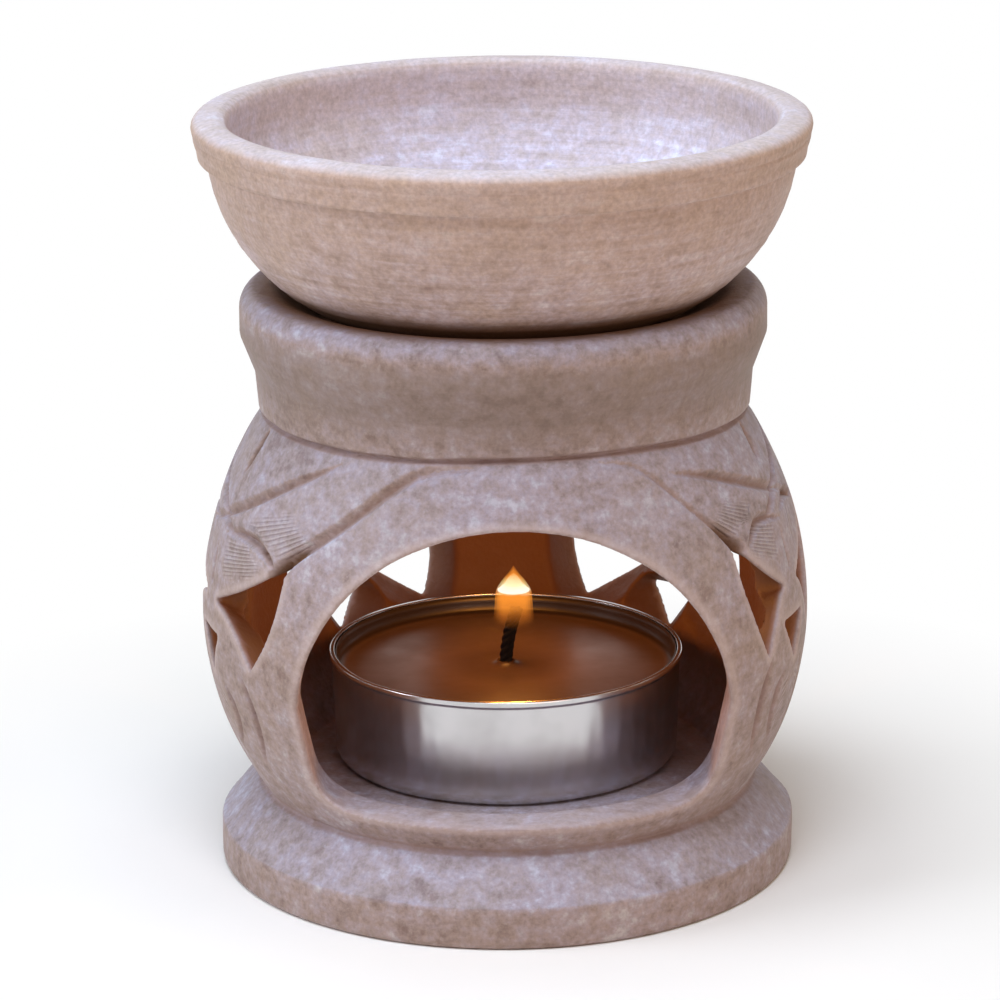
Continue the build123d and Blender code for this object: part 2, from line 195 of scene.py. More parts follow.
@dataclass(frozen=True)
class StoneFinish:
    """Soft mottled soapstone with turning streaks, and painted light and shade from height and stored
    masks.
    """

    name: str
    streak: float = 0.4
    pink: float = 0.5
    shade: float = 1.0
    carved: bool = False
    # turns on the painted top light inside the hollow
    lit_hollow: bool = False
    # heights of the painted shade low on the bowl, where it sits in the collar
    foot_shade: Point = (0.0, 0.0)
    warm: Point = (0.0, 0.0)
    dark: Colour = (0.31, 0.20, 0.17)
    brown: Colour = (0.42, 0.30, 0.255)
    rose: Colour = (0.485, 0.355, 0.325)
    lilac: Colour = (0.53, 0.41, 0.405)
    chalk: Colour = (0.64, 0.55, 0.535)
    ochre: Colour = (0.53, 0.37, 0.27)
    # painted shade, amber from the candle, inside the stand and low on the bowl
    shade_brown: Colour = (0.14, 0.058, 0.02)
    # painted cool top light inside the bowl
    hollow_top_light: Colour = (1.24, 1.54, 2.02)
    # painted cool top light on upward faces
    skylight_tint: Colour = (1.02, 1.19, 1.5)
    # painted shadow of the bowl on the collar
    collar_shadow_tint: Colour = (0.19, 0.135, 0.105)
    # rubbed edges, with a painted highlight along them
    rubbed_and_highlit: Colour = (0.56, 0.43, 0.39)
    # painted top light on flat upward faces
    flat_top_light: Colour = (1.16, 1.22, 1.24)

    def material(self) -> bpy.types.Material:
        """Builds the stone's material.

        Returns:
            The finished material.
        """
        material, sheet = new_material(self.name)
        place = sheet.millimetres()
        parts = sheet.add("ShaderNodeSeparateXYZ", {0: place}).outputs
        reach = sheet.vector("LENGTH", sheet.vector("MULTIPLY", place, (1.0, 1.0, 0.0)))
        height = sheet.math("ADD", parts[2], sheet.math("MULTIPLY", reach, 0.7))
        lathe = sheet.add(
            "ShaderNodeCombineXYZ",
            {
                0: sheet.math("MULTIPLY", parts[0], 0.07), 1: sheet.math("MULTIPLY", parts[1], 0.07),
                2: height,
            },
        ).outputs[0]
        drift = sheet.noise(place, 0.09, 3.0, 0.55)
        blotch = sheet.noise(place, 0.6, 4.0, 0.62)
        grain = sheet.noise(place, 1.9, 3.0, 0.6)
        streaks = sheet.noise(lathe, 1.0, 4.0, 0.65)
        blend = sheet.math("MULTIPLY", blotch, 0.6 - 0.4 * self.streak)
        blend = sheet.math("ADD", blend, sheet.math("MULTIPLY", streaks, 0.6 * self.streak))
        blend = sheet.math("ADD", blend, sheet.math("MULTIPLY", drift, 0.25))
        total = 0.85 + 0.2 * self.streak
        tone = sheet.span(blend, 0.37 * total, 0.63 * total)
        stops = (
            (0.0, self.dark), (0.28, self.brown), (0.5, self.rose), (0.74, self.lilac), (1.0, self.chalk),
        )
        colour = sheet.ramp(tone, stops)
        warm = sheet.span(
            sheet.noise(sheet.vector("ADD", place, (31.0, 7.0, 19.0)), 0.13, 4.0, 0.6), 0.45, 0.72,
        )
        colour = sheet.mix(sheet.math("MULTIPLY", warm, self.pink), colour, self.ochre)
        if self.warm[1] > self.warm[0]:
            rise = sheet.span(parts[2], *self.warm, 0.0, 0.5)
            colour = sheet.mix(rise, colour, self.ochre)
        speck = sheet.span(grain, 0.3, 0.7, 0.84 * self.shade, 1.13 * self.shade)
        colour = sheet.mix(
            1.0, colour, sheet.add("ShaderNodeCombineColor", {0: speck, 1: speck, 2: speck}).outputs[0],
            "MULTIPLY",
        )
        fleck = sheet.span(
            sheet.noise(sheet.vector("ADD", place, (3.0, 41.0, 9.0)), 1.4, 2.0, 0.5), 0.62, 0.8, 0.0, 0.22,
        )
        colour = sheet.mix(fleck, colour, self.chalk)
        vein = 0.0
        if self.carved:
            # painted light: upward faces tinted cool and lighter, as if lit from above
            skylit = sheet.mix(1.0, colour, self.skylight_tint, "MULTIPLY")
            colour = sheet.mix(
                sheet.span(sheet.attribute("up_facing_light"), 0.05, 0.6, 0.0, 0.95), colour, skylit,
            )
            # painted light: the flattest upward faces lightened further, as if lit from above
            flat_lit = sheet.mix(1.0, colour, self.flat_top_light, "MULTIPLY")
            colour = sheet.mix(sheet.span(sheet.attribute("up_facing_light"), 0.92, 1.0), colour, flat_lit)
            # rubbed edges with a painted edge highlight, and painted light on the front sill
            colour = sheet.mix(
                sheet.span(sheet.attribute("edge_wear_and_highlight"), 0.25, 0.75, 0.0, 0.4), colour, self.rubbed_and_highlit,
            )
            # painted shade: darker in grooves and hollows
            colour = sheet.mix(
                sheet.span(sheet.attribute("crease_shade"), 0.1, 0.7, 0.0, 0.6), colour, self.dark,
            )
            ridge = sheet.math(
                "ABSOLUTE", sheet.math("SUBTRACT", sheet.math("FRACT", sheet.attribute("vein_row")), 0.5),
            )
            leaf = sheet.attribute("vein_share")
            # painted shade in the vein grooves and painted highlight on their crests
            vein = sheet.math("MULTIPLY", sheet.span(ridge, 0.04, 0.34, 1.0, 0.0), leaf)
            crest_highlight = sheet.math("MULTIPLY", sheet.span(ridge, 0.2, 0.5, 0.0, 0.3), leaf)
            colour = sheet.mix(
                crest_highlight, sheet.mix(sheet.math("MULTIPLY", vein, 0.14), colour, self.dark), self.chalk,
            )
            # painted shadow of the bowl on the upper collar
            collar_shadow = sheet.math(
                "MULTIPLY", sheet.span(parts[2], 51.0, 55.0), sheet.span(parts[2], 60.2, 61.6, 1.0, 0.0),
            )
            colour = sheet.mix(sheet.math("MULTIPLY", collar_shadow, 0.5), colour, self.collar_shadow_tint)
            # painted shade inside the chamber, on the window walls and in the bowl's shadow on the collar's
            # dish
            cavity_shade = sheet.math(
                "MULTIPLY", sheet.attribute("cavity_shade"), sheet.span(drift, 0.3, 0.7, 0.88, 0.98),
            )
            colour = sheet.mix(cavity_shade, colour, self.shade_brown)
        # painted cool top light inside the bowl's hollow and on its lip's top
        if self.lit_hollow:
            hollow_top_light = sheet.mix(1.0, colour, self.hollow_top_light, "MULTIPLY")
            colour = sheet.mix(sheet.math("MULTIPLY", sheet.attribute("top_lit_share"), 0.9), colour, hollow_top_light)
        # painted shade low on the bowl, where it sits in the collar
        if self.foot_shade[1] > self.foot_shade[0]:
            colour = sheet.mix(sheet.span(parts[2], *self.foot_shade, 0.92, 0.0), colour, self.shade_brown)
        rough = sheet.span(blotch, 0.3, 0.7, 0.52, 0.72)
        height = sheet.math(
            "ADD", sheet.math("MULTIPLY", grain, 0.6), sheet.math("MULTIPLY", streaks, 0.8 * self.streak),
        )
        height = sheet.math("SUBTRACT", height, sheet.math("MULTIPLY", vein, 1.1))
        normal = sheet.bump(height, 0.14 * MM, 0.8)
        sheet.principled(
            {"Base Color": colour, "Roughness": rough, "Normal": normal, "Specular IOR Level": 0.35}
        )
        return material


@dataclass(frozen=True)
class AluminiumFinish:
    """Thin pressed aluminium with soft dents and a dull film."""

    name: str = "pressed_aluminium"
    clean: Colour = (0.62, 0.61, 0.62)
    dull: Colour = (0.54, 0.53, 0.535)

    def material(self) -> bpy.types.Material:
        """Builds the metal's material.

        Returns:
            The finished material.
        """
        material, sheet = new_material(self.name)
        place = sheet.millimetres()
        film = sheet.noise(place, 0.2, 2.0, 0.5)
        colour = sheet.mix(sheet.span(film, 0.4, 0.7), self.clean, self.dull)
        rough = sheet.span(film, 0.3, 0.7, 0.2, 0.27)
        sheet.principled({"Base Color": colour, "Metallic": 1.0, "Roughness": rough})
        return material


@dataclass(frozen=True)
class TinFinish:
    """Tinned steel of the wick's foot, seen through wax."""

    name: str = "tinned_steel"
    bright: Colour = (0.55, 0.52, 0.5)
    stained: Colour = (0.25, 0.19, 0.16)

    def material(self) -> bpy.types.Material:
        """Builds the tin's material.

        Returns:
            The finished material.
        """
        material, sheet = new_material(self.name)
        place = sheet.millimetres()
        stain = sheet.span(sheet.noise(place, 0.9, 4.0, 0.65), 0.35, 0.65)
        colour = sheet.mix(stain, self.bright, self.stained)
        rough = sheet.span(stain, 0.0, 1.0, 0.28, 0.5)
        normal = sheet.bump(sheet.noise(place, 3.0), 0.04 * MM, 0.6)
        sheet.principled({"Base Color": colour, "Metallic": 1.0, "Roughness": rough, "Normal": normal})
        return material


@dataclass(frozen=True)
class WaxFinish:
    """Molten wax, clear brown over a darker middle, with painted shade where it climbs the cup's wall."""

    name: str = "molten_wax"
    deep: Colour = (0.055, 0.033, 0.026)
    clear: Colour = (0.095, 0.06, 0.047)
    # painted shade on the wax drawn up the cup's wall
    wall_shade: Colour = (0.016, 0.010, 0.008)

    def material(self) -> bpy.types.Material:
        """Builds the wax material.

        Returns:
            The finished material.
        """
        material, sheet = new_material(self.name)
        place = sheet.millimetres()
        centred = sheet.vector(
            "MULTIPLY", sheet.vector("SUBTRACT", place, (0.0, 1.5, 0.0)), (1.0, 1.0, 0.0),
        )
        reach = sheet.vector("LENGTH", centred)
        cloud = sheet.noise(place, 0.22, 3.0, 0.55)
        middle = sheet.span(sheet.math("ADD", reach, sheet.math("MULTIPLY", cloud, 2.5)), 5.5, 8.5)
        colour = sheet.mix(middle, self.deep, self.clear)
        colour = sheet.mix(sheet.span(cloud, 0.35, 0.7, 0.0, 0.35), colour, self.deep)
        # painted shade where the wax climbs the cup's wall
        colour = sheet.mix(sheet.span(reach, 17.5, 18.1, 0.0, 0.9), colour, self.wall_shade)
        rough = sheet.span(cloud, 0.3, 0.7, 0.3, 0.4)
        normal = sheet.bump(cloud, 0.1 * MM, 0.3)
        sheet.principled({"Base Color": colour, "Roughness": rough, "Normal": normal, "IOR": 1.44})
        return material


@dataclass(frozen=True)
class CharFinish:
    """Charred cotton of the wick."""

    name: str = "charred_cotton"
    char: Colour = (0.012, 0.009, 0.008)
    ash: Colour = (0.022, 0.016, 0.014)

    def material(self) -> bpy.types.Material:
        """Builds the wick's material.

        Returns:
            The finished material.
        """
        material, sheet = new_material(self.name)
        place = sheet.millimetres()
        fibre = sheet.noise(sheet.vector("MULTIPLY", place, (4.0, 4.0, 1.2)), 1.4, 4.0, 0.7)
        colour = sheet.mix(sheet.span(fibre, 0.45, 0.75), self.char, self.ash)
        rough = sheet.span(fibre, 0.3, 0.7, 0.75, 0.95)
        normal = sheet.bump(fibre, 0.1 * MM, 0.8)
        sheet.principled(
            {"Base Color": colour, "Roughness": rough, "Normal": normal, "Specular IOR Level": 0.15}
        )
        return material


class FlamePart(Enum):
    """Layers of the flame, from the inside out."""

    CORE = "core"
    GLOW = "glow"


@dataclass(frozen=True)
class FlameFinish:
    """Light of one layer of the flame, from its foot to its tip."""

    part: FlamePart
    foot_z: float
    tip_z: float
    stops: tuple[tuple[float, Colour], ...]
    strength: float
    cover: tuple[Point, ...]

    def material(self) -> bpy.types.Material:
        """Builds the layer's material.

        Returns:
            The finished material.
        """
        material, sheet = new_material(f"flame_{self.part.value}")
        place = sheet.millimetres()
        rise = sheet.add("ShaderNodeSeparateXYZ", {0: place}).outputs[2]
        waver = sheet.math("MULTIPLY", sheet.noise(place, 0.5, 2.0), 0.8)
        share = sheet.span(sheet.math("ADD", rise, waver), self.foot_z + 0.4, self.tip_z + 0.4)
        colour = sheet.ramp(share, self.stops)
        light = sheet.add("ShaderNodeEmission", {"Color": colour, "Strength": self.strength}).outputs[0]
        clear = sheet.add("ShaderNodeBsdfTransparent").outputs[0]
        cover = sheet.ramp(share, [(at, (part, part, part)) for at, part in self.cover])
        sheet.surface(sheet.add("ShaderNodeMixShader", {0: cover, 1: clear, 2: light}).outputs[0])
        return material


def arc_points(start: Point, end: Point, tangent: Point, count: int) -> list[Point]:
    """Samples the arc that leaves a point along a tangent and ends at another point.

    Args:
        start: first point.
        end: last point.
        tangent: direction at the first point.
        count: number of points, without the first one.

    Returns:
        The points after the start.
    """
    chord = np.subtract(end, start)
    unit = np.asarray(tangent, float) / np.hypot(*tangent)
    normal = np.array((-unit[1], unit[0]))
    across = float(chord @ normal)
    if abs(across) < 1e-9:
        return [tuple(np.asarray(start) + chord * i / count) for i in range(1, count + 1)]
    radius = float(chord @ chord) / (2.0 * across)
    turn = 2.0 * math.atan2(across, float(chord @ unit))
    angles = turn * np.arange(1, count + 1) / count
    along = radius * np.sin(angles)
    aside = radius * (1.0 - np.cos(angles))
    return [tuple(np.asarray(start) + unit * a + normal * b) for a, b in zip(along, aside)]


def eased(corners: Sequence[tuple[float, float, float]], count: int = 5) -> list[Point]:
    """Rounds the corners of an outline.

    Args:
        corners: points with the length to ease at each.
        count: points on each rounded corner.

    Returns:
        The rounded outline.
    """
    points: list[Point] = []
    for i, (a, b, ease) in enumerate(corners):
        here = np.array((a, b))
        if ease <= 0.0 or i in (0, len(corners) - 1):
            points.append((a, b))
            continue
        before = np.array(corners[i - 1][:2]) - here
        after = np.array(corners[i + 1][:2]) - here
        first = here + before * min(0.48, ease / np.hypot(*before))
        last = here + after * min(0.48, ease / np.hypot(*after))
        for t in np.linspace(0.0, 1.0, count):
            points.append(tuple((1 - t) ** 2 * first + 2 * t * (1 - t) * here + t**2 * last))
    return points


def spaced(points: Sequence[Point], step: float) -> list[Point]:
    """Divides the long runs of an outline, so that no two points are further apart than a step."""
    result = [points[0]]
    for start, end in zip(points, points[1:]):
        count = max(1, math.ceil(math.dist(start, end) / step))
        result += [tuple(np.add(start, np.subtract(end, start) * i / count)) for i in range(1, count + 1)]
    return result


def smooth_line(points: Sequence[Sequence[float]], count: int = 6) -> np.ndarray:
    """Draws a smooth line through points, each with any further values that change along it.

    Args:
        points: rows of values that the line passes through.
        count: pieces between two rows.

    Returns:
        The rows of the smooth line.
    """
    rows = np.asarray(points, float)
    padded = np.vstack((2 * rows[0] - rows[1], rows, 2 * rows[-1] - rows[-2]))
    line = []
    for i in range(len(rows) - 1):
        a, b, c, d = padded[i : i + 4]
        for t in np.arange(count) / count:
            square = (2 * a - 5 * b + 4 * c - d) * t**2
            cube = (3 * b - a - 3 * c + d) * t**3
            line.append(0.5 * (2 * b + (c - a) * t + square + cube))
    line.append(rows[-1])
    return np.array(line)


def outline_distance(a: np.ndarray, b: np.ndarray, outline: Sequence[Point]) -> np.ndarray:
    """Gives the distance to a closed outline, negative inside it.

    Args:
        a: first coordinates.
        b: second coordinates.
        outline: corners of the outline.

    Returns:
        The signed distances.
    """
    best = np.full(a.shape, 1e9)
    inside = np.zeros(a.shape, bool)
    corners = list(outline)
    for (a0, b0), (a1, b1) in zip(corners, corners[1:] + corners[:1]):
        da, db = a1 - a0, b1 - b0
        length = da * da + db * db
        if length < 1e-12:
            continue
        t = np.clip(((a - a0) * da + (b - b0) * db) / length, 0.0, 1.0)
        best = np.minimum(best, (a - a0 - t * da) ** 2 + (b - b0 - t * db) ** 2)
        if abs(db) > 1e-12:
            crosses = ((b0 > b) != (b1 > b)) & (a < a0 + da * (b - b0) / db)
            inside ^= crosses
    return np.where(inside, -1.0, 1.0) * np.sqrt(best)


def smooth_max(a: np.ndarray, b: np.ndarray, width: float) -> np.ndarray:
    """Takes the larger of two fields, with the edge between them worn over a width."""
    return np.maximum(a, b) + np.maximum(width - np.abs(a - b), 0.0) ** 2 / (4.0 * width)


@dataclass
class FieldMap:
    """Values on a flat grid, read between its points."""

    low: Point
    step: float
    values: np.ndarray

    @classmethod
    def blank(cls, low: Point, high: Point, step: float, value: float = 0.0) -> "FieldMap":
        """Makes a grid over a rectangle, filled with one value."""
        shape = [int(math.ceil((h - l) / step)) + 1 for l, h in zip(low, high)]
        return cls(low, step, np.full(shape, value, np.float32))

    def axes(self) -> tuple[np.ndarray, np.ndarray]:
        """Gives the grid's coordinates along both sides."""
        counts = self.values.shape
        return tuple(self.low[i] + self.step * np.arange(counts[i]) for i in (0, 1))

    def window(self, a_span: Point, b_span: Point) -> tuple[tuple[slice, slice], np.ndarray, np.ndarray]:
        """Cuts a rectangle out of the grid.

        Args:
            a_span: low and high first coordinate.
            b_span: low and high second coordinate.

        Returns:
            The slices, and the two coordinates of every point in them.
        """
        axes = self.axes()
        cuts = []
        for axis, (low, high) in zip(axes, (a_span, b_span)):
            cuts.append(slice(int(np.searchsorted(axis, low)), int(np.searchsorted(axis, high))))
        a, b = np.meshgrid(axes[0][cuts[0]], axes[1][cuts[1]], indexing="ij")
        return tuple(cuts), a, b

    def read(self, a: np.ndarray, b: np.ndarray) -> np.ndarray:
        """Reads the values at points, between the grid's own."""
        rows, columns = self.values.shape
        s = np.clip((a - self.low[0]) / self.step, 0.0, rows - 1.001)
        t = np.clip((b - self.low[1]) / self.step, 0.0, columns - 1.001)
        i, j = s.astype(np.int32), t.astype(np.int32)
        s, t = s - i, t - j
        v = self.values
        low = v[i, j] * (1 - t) + v[i, j + 1] * t
        high = v[i + 1, j] * (1 - t) + v[i + 1, j + 1] * t
        return low * (1 - s) + high * s


class Zone(Enum):
    """Part of the belly that a cut's shares run along."""

    ABOVE = "from the window's top up to the collar"
    WINDOW = "up from the window's top by its height"
    BELOW = "from the window's foot down to the waist"


@dataclass(frozen=True)
class Cut:
    """A knife cut on a leaf panel: rows of across and along as shares, half width and depth in millimetres.

    Its bevel lies to the left of the line, and a steep wall to the right. One bevel is a plain groove.
    """

    rows: Rows
    zone: Zone = Zone.ABOVE
    sides: tuple[float, ...] = (-1.0, 1.0)
    bevel: float = 1.55


@dataclass(frozen=True)
class Fan:
    """Veins of one leaf: starts of the first and last vein, their ends, and their number."""

    start: Point
    last_start: Point
    end: Point
    last_end: Point
    count: int
    zone: Zone


@dataclass(frozen=True)
class LeafPanel:
    """Place of one carved panel on the belly."""

    azimuth: float
    foot_z: float
    width_share: float
    edges: tuple[Point, Point, Point] = ((0.93, 0.5), (0.66, 0.0), (0.35, 0.31))
    band_reach: float = 1.0
    front_cuts: tuple[Cut, ...] = ()
    outer_share: float = 1.0
    tip: Point = (1.0, 1.0)


RIGHT_CUTS = (
    Cut(
        (
            (-0.49, 0.23, 0.3, 0.2), (0.0, 0.37, 0.6, 0.8), (0.585, 0.563, 0.65, 0.95),
            (1.11, 0.704, 0.5, 0.7), (1.63, 0.846, 0.15, 0.1),
        ),
        sides=(-1.0,),
    ),
    Cut(
        (
            (-0.07, 0.06, 0.15, 0.1), (0.3, 0.12, 0.6, 0.9), (0.545, 0.1, 0.7, 1.1),
            (0.77, -0.04, 0.15, 0.15),
        ),
        sides=(-1.0,),
    ),
)


@dataclass
class CarvedStand:
    """Turned, hollowed and carved stand of soapstone."""

    base_r: float = 31.25
    base_side_h: float = 4.6
    waist: Point = (26.7, 9.25)
    bulge: Point = (32.65, 27.85)
    belly_top: Point = (25.95, 50.05)
    undercut: Point = (0.75, 0.85)
    band_r: float = 26.2
    flare: Point = (26.5, 54.75)
    collar: Point = (28.05, 58.85)
    collar_edge_z: float = 61.45
    rim: Point = (26.6, 63.65)
    dish_r: float = 24.3
    ledge_r: float = 19.7
    seat_z: float = 61.15
    throat: Point = (15.5, 48.95)
    chamber_top: Point = (21.5, 46.95)
    chamber_r: float = 28.3
    floor: Point = (22.5, 10.45)
    arch_shift: float = 0.8
    arch_half: float = 22.35
    arch_foot_half: float = 20.2
    arch_corner: float = 4.5
    sill_z: float = 12.55
    spring_z: float = 23.95
    crown_z: float = 44.75
    stem_gap: float = 2.6
    window_w: float = 10.0
    window_h: float = 11.0
    low_hole: Point = (2.6, 4.0)
    low_hole_rise: float = 1.0
    window_splay: float = 0.62
    front_lift: float = 0.9
    sill_fall: float = 0.06
    panels: tuple[LeafPanel, ...] = (
        LeafPanel(-75.0, 26.794, 1.3),
        LeafPanel(70.0, 28.63, 0.85, ((0.84, 0.42), (0.5, -0.1), (0.2, 0.3)), 0.5, RIGHT_CUTS),
        LeafPanel(142.0, 20.674, 1.0, ((1.06, 0.45), (0.88, -0.08), (0.36, 0.2))),
        LeafPanel(
            -142.0, 20.674, 1.0, ((0.98, 0.45), (0.88, -0.08), (0.36, 0.2)), outer_share=0.74,
            tip=(0.8, 1.0),
        ),
    )
    seed: int = 7
    triangles: int = 185000
    outer_map: FieldMap = field(init=False)
    cavity_map: FieldMap = field(init=False)
    arch_map: FieldMap = field(init=False)
    window_map: FieldMap = field(init=False)
    carve_map: FieldMap = field(init=False)
    vein_row: FieldMap = field(init=False)
    vein_share: FieldMap = field(init=False)
    waves: np.ndarray = field(init=False)

    def outer_outline(self) -> list[Point]:
        """Gives the turned outline, from the middle of the foot to the middle of the rim."""
        base = [(0.0, 0.0), (self.base_r - 0.6, 0.0), (self.base_r - 0.15, 0.2), (self.base_r, 0.7)]
        base += [(self.base_r, self.base_side_h - 0.4), (self.base_r - 0.12, self.base_side_h)]
        crown = [
            (self.base_r - 0.5, self.base_side_h + 0.3), (29.2, 6.85), (27.25, 8.75),
            (self.waist[0] - 0.45, self.waist[1]), self.waist,
        ]
        lower = arc_points(self.bulge, self.waist, (0.0, -1.0), 24)[::-1][1:]
        upper = arc_points(self.bulge, self.belly_top, (0.0, 1.0), 24)
        depth, tall = self.undercut
        notch = [
            (self.belly_top[0] - depth, self.belly_top[1] + tall / 2),
            (self.band_r, self.belly_top[1] + tall),
        ]
        band = notch + [self.flare, self.collar, (self.collar[0], self.collar_edge_z)]
        top = arc_points((self.collar[0], self.collar_edge_z), self.rim, (0.0, 1.0), 8)
        return base + crown + lower + [self.bulge] + upper + band + top + [(0.0, self.rim[1])]

    def cavity_outline(self) -> list[Point]:
        """Gives the outline of the chamber, the throat and the dished seat."""
        lower = arc_points((self.chamber_r, self.bulge[1]), self.floor, (0.0, -1.0), 18)[::-1]
        upper = arc_points((self.chamber_r, self.bulge[1]), self.chamber_top, (0.0, 1.0), 18)
        seat = [self.throat, (self.throat[0], self.seat_z), (self.ledge_r, self.seat_z)]
        mouth = [
            (self.dish_r, self.rim[1]), (self.dish_r + 4.0, self.rim[1] + 4.0), (-9.0, self.rim[1] + 4.0),
        ]
        return [(-9.0, self.floor[1])] + lower + [(self.chamber_r, self.bulge[1])] + upper + seat + mouth

    def arch_outline(self) -> list[Point]:
        """Gives the doorway's outline in the plane of the front."""
        angles = np.linspace(0.0, math.pi, 41)
        rise = self.crown_z - self.spring_z
        crown = [(self.arch_half * math.cos(a), self.spring_z + rise * math.sin(a)) for a in angles]
        feet = [
            (-self.arch_half, self.spring_z, 0.0), (-self.arch_foot_half, self.sill_z, self.arch_corner),
        ]
        feet += [(self.arch_foot_half, self.sill_z, self.arch_corner), (self.arch_half, self.spring_z, 0.0)]
        outline = crown + eased(feet, 8)[1:-1]
        return [(x + self.arch_shift, z) for x, z in outline]

    def window_outline(self, panel: LeafPanel) -> list[Point]:
        """Gives one window's outline, from the stem outwards and up from its foot."""
        w, h, gap = self.window_w * panel.width_share, self.window_h, self.stem_gap
        shares = ((0.0, 0.45), (0.5 * panel.tip[0], 0.69), panel.tip, *panel.edges)
        corners = [(gap + w * a, h * b) for a, b in shares]
        outline: list[Point] = []
        for i in (0, 2, 4):
            a, m, b = (np.array(corners[(i + k) % 6]) for k in range(3))
            for t in np.arange(8) / 8:
                outline.append(tuple((1 - t) * (1 - 2 * t) * a + 4 * t * (1 - t) * m + t * (2 * t - 1) * b))
        return outline

    def cuts(self, panel: LeafPanel) -> list[Cut]:
        """Lists one leaf panel's knife cuts, as shares of its width and of the belly above or below it."""
        roof = (
            (-0.3, 0.1, 0.4, 0.3), (0.0, 0.21, 0.6, 0.75), (0.38, 0.39, 0.65, 0.95),
            (0.86, 0.675, 0.6, 0.9), (1.31, 0.93, 0.15, 0.1),
        )
        brow = (
            (0.14, 0.11, 0.15, 0.1), (0.36, 0.16, 0.5, 0.75), (0.6, 0.15, 0.7, 1.1), (0.8, 0.09, 0.55, 0.9),
            (0.93, 0.0, 0.15, 0.15),
        )
        band = (
            (0.97, -0.06, 1.1, 1.9), (1.1, 0.13, 0.85, 1.3), (1.36, 0.36, 0.75, 1.0),
            (1.81, 0.77, 0.75, 0.9), (2.1, 0.95, 0.6, 0.6), (2.5, 1.03, 0.4, 0.3),
        )
        band = tuple(
            (a, b, w * (1.0 if a < 1.2 else panel.band_reach), d * (1.0 if a < 1.2 else panel.band_reach))
            for a, b, w, d in band
        )
        cheek = (
            (0.57, 0.09, 0.2, 0.1), (0.65, 0.26, 0.7, 0.7), (0.68, 0.46, 0.6, 0.6), (0.63, 0.66, 0.2, 0.1),
        )
        frond = (
            (0.25, 0.2, 0.15, 0.1), (0.37, 0.33, 0.6, 0.6), (0.35, 0.49, 0.6, 0.5), (0.22, 0.65, 0.15, 0.1),
        )
        bud = (
            (0.07, 0.6, 0.15, 0.2), (0.1, 0.72, 0.6, 1.5), (0.12, 0.87, 0.65, 1.7), (0.14, 0.97, 0.25, 0.5),
        )
        stem = ((0.0, -0.02, 0.15, 0.1), (0.0, -0.2, 0.4, 0.4), (0.0, -0.4, 0.3, 0.3))
        free = (1.0,) if panel.front_cuts else (-1.0, 1.0)
        cuts = [Cut(roof, sides=free), Cut(brow, sides=free), Cut(band), Cut(bud, sides=(1.0,), bevel=1.0)]
        cuts += [Cut(cheek, Zone.BELOW), Cut(frond, Zone.BELOW), Cut(stem, Zone.WINDOW, (1.0,))]
        return cuts + list(panel.front_cuts)

    def fans(self) -> list[Fan]:
        """Lists the veined leaves of one panel."""
        return [
            Fan((0.45, 0.3), (1.0, 0.08), (0.98, 0.46), (1.24, 0.28), 9, Zone.ABOVE),
            Fan((0.18, -0.27), (0.2, 0.06), (0.8, -0.06), (0.57, 0.13), 8, Zone.WINDOW),
            Fan((0.1, 0.26), (0.14, 0.54), (0.27, 0.3), (0.2, 0.6), 7, Zone.BELOW),
        ]

    def draw_fan(self, corners: np.ndarray, count: int) -> None:
        """Numbers the veins of one leaf on the maps.

        Args:
            corners: starts of the first and last vein, then their ends, in millimetres round the belly.
            count: number of veins.
        """
        low, high = corners.min(0) - 2.0, corners.max(0) + 2.0
        cut, a, b = self.vein_row.window((low[0], high[0]), (low[1], high[1]))
        start, last, end, last_end = corners
        s, t = np.full(a.shape, 0.5), np.full(a.shape, 0.5)
        twist = last_end - end - last + start
        for _ in range(8):
            miss = [
                start[i] + s * (end - start)[i] + t * (last - start)[i] + s * t * twist[i] - (a, b)[i]
                for i in (0, 1)
            ]
            along = [(end - start)[i] + t * twist[i] for i in (0, 1)]
            aside = [(last - start)[i] + s * twist[i] for i in (0, 1)]
            area = along[0] * aside[1] - along[1] * aside[0]
            area = np.where(np.abs(area) < 1e-3, 1e-3, area)
            s = np.clip(s - (miss[0] * aside[1] - miss[1] * aside[0]) / area, -0.6, 1.6)
            t = np.clip(t - (along[0] * miss[1] - along[1] * miss[0]) / area, -0.6, 1.6)
        inside = np.minimum(np.minimum(s, 1.0 - s) / 0.15, np.minimum(t + 0.05, 1.05 - t) / 0.08)
        share = np.clip(inside, 0.0, 1.0)
        better = share >= self.vein_share.values[cut]
        self.vein_row.values[cut] = np.where(better, t * count + 3.0, self.vein_row.values[cut])
        self.vein_share.values[cut] = np.where(better, share, self.vein_share.values[cut])

    def carve(self, row: np.ndarray, left: float, right: float) -> None:
        """Sinks one smooth knife cut into the map of depths.

        Args:
            row: rows of across, up, half width and depth, in millimetres round the belly.
            left: width of the bevel to the left of the line, as a share of the half width.
            right: the same to the right.
        """
        reach = float(row[:, 2].max()) * max(left, right) + 0.3
        low, high = row[:, :2].min(0) - reach, row[:, :2].max(0) + reach
        cut, a, b = self.carve_map.window((low[0], high[0]), (low[1], high[1]))
        if a.size == 0:
            return
        depth = np.zeros(a.shape)
        for (a0, b0, w0, d0), (a1, b1, w1, d1) in zip(row, row[1:]):
            da, db = a1 - a0, b1 - b0
            t = np.clip(((a - a0) * da + (b - b0) * db) / max(da * da + db * db, 1e-9), 0.0, 1.0)
            off = np.hypot(a - a0 - t * da, b - b0 - t * db)
            turn = da * (b - b0) - db * (a - a0)
            wide = (w0 + (w1 - w0) * t) * np.where(turn > 0.0, left, right)
            share = np.clip(1.0 - off / wide, 0.0, 1.0)
            depth = np.maximum(depth, (d0 + (d1 - d0) * t) * share)
        self.carve_map.values[cut] = np.maximum(self.carve_map.values[cut], depth)

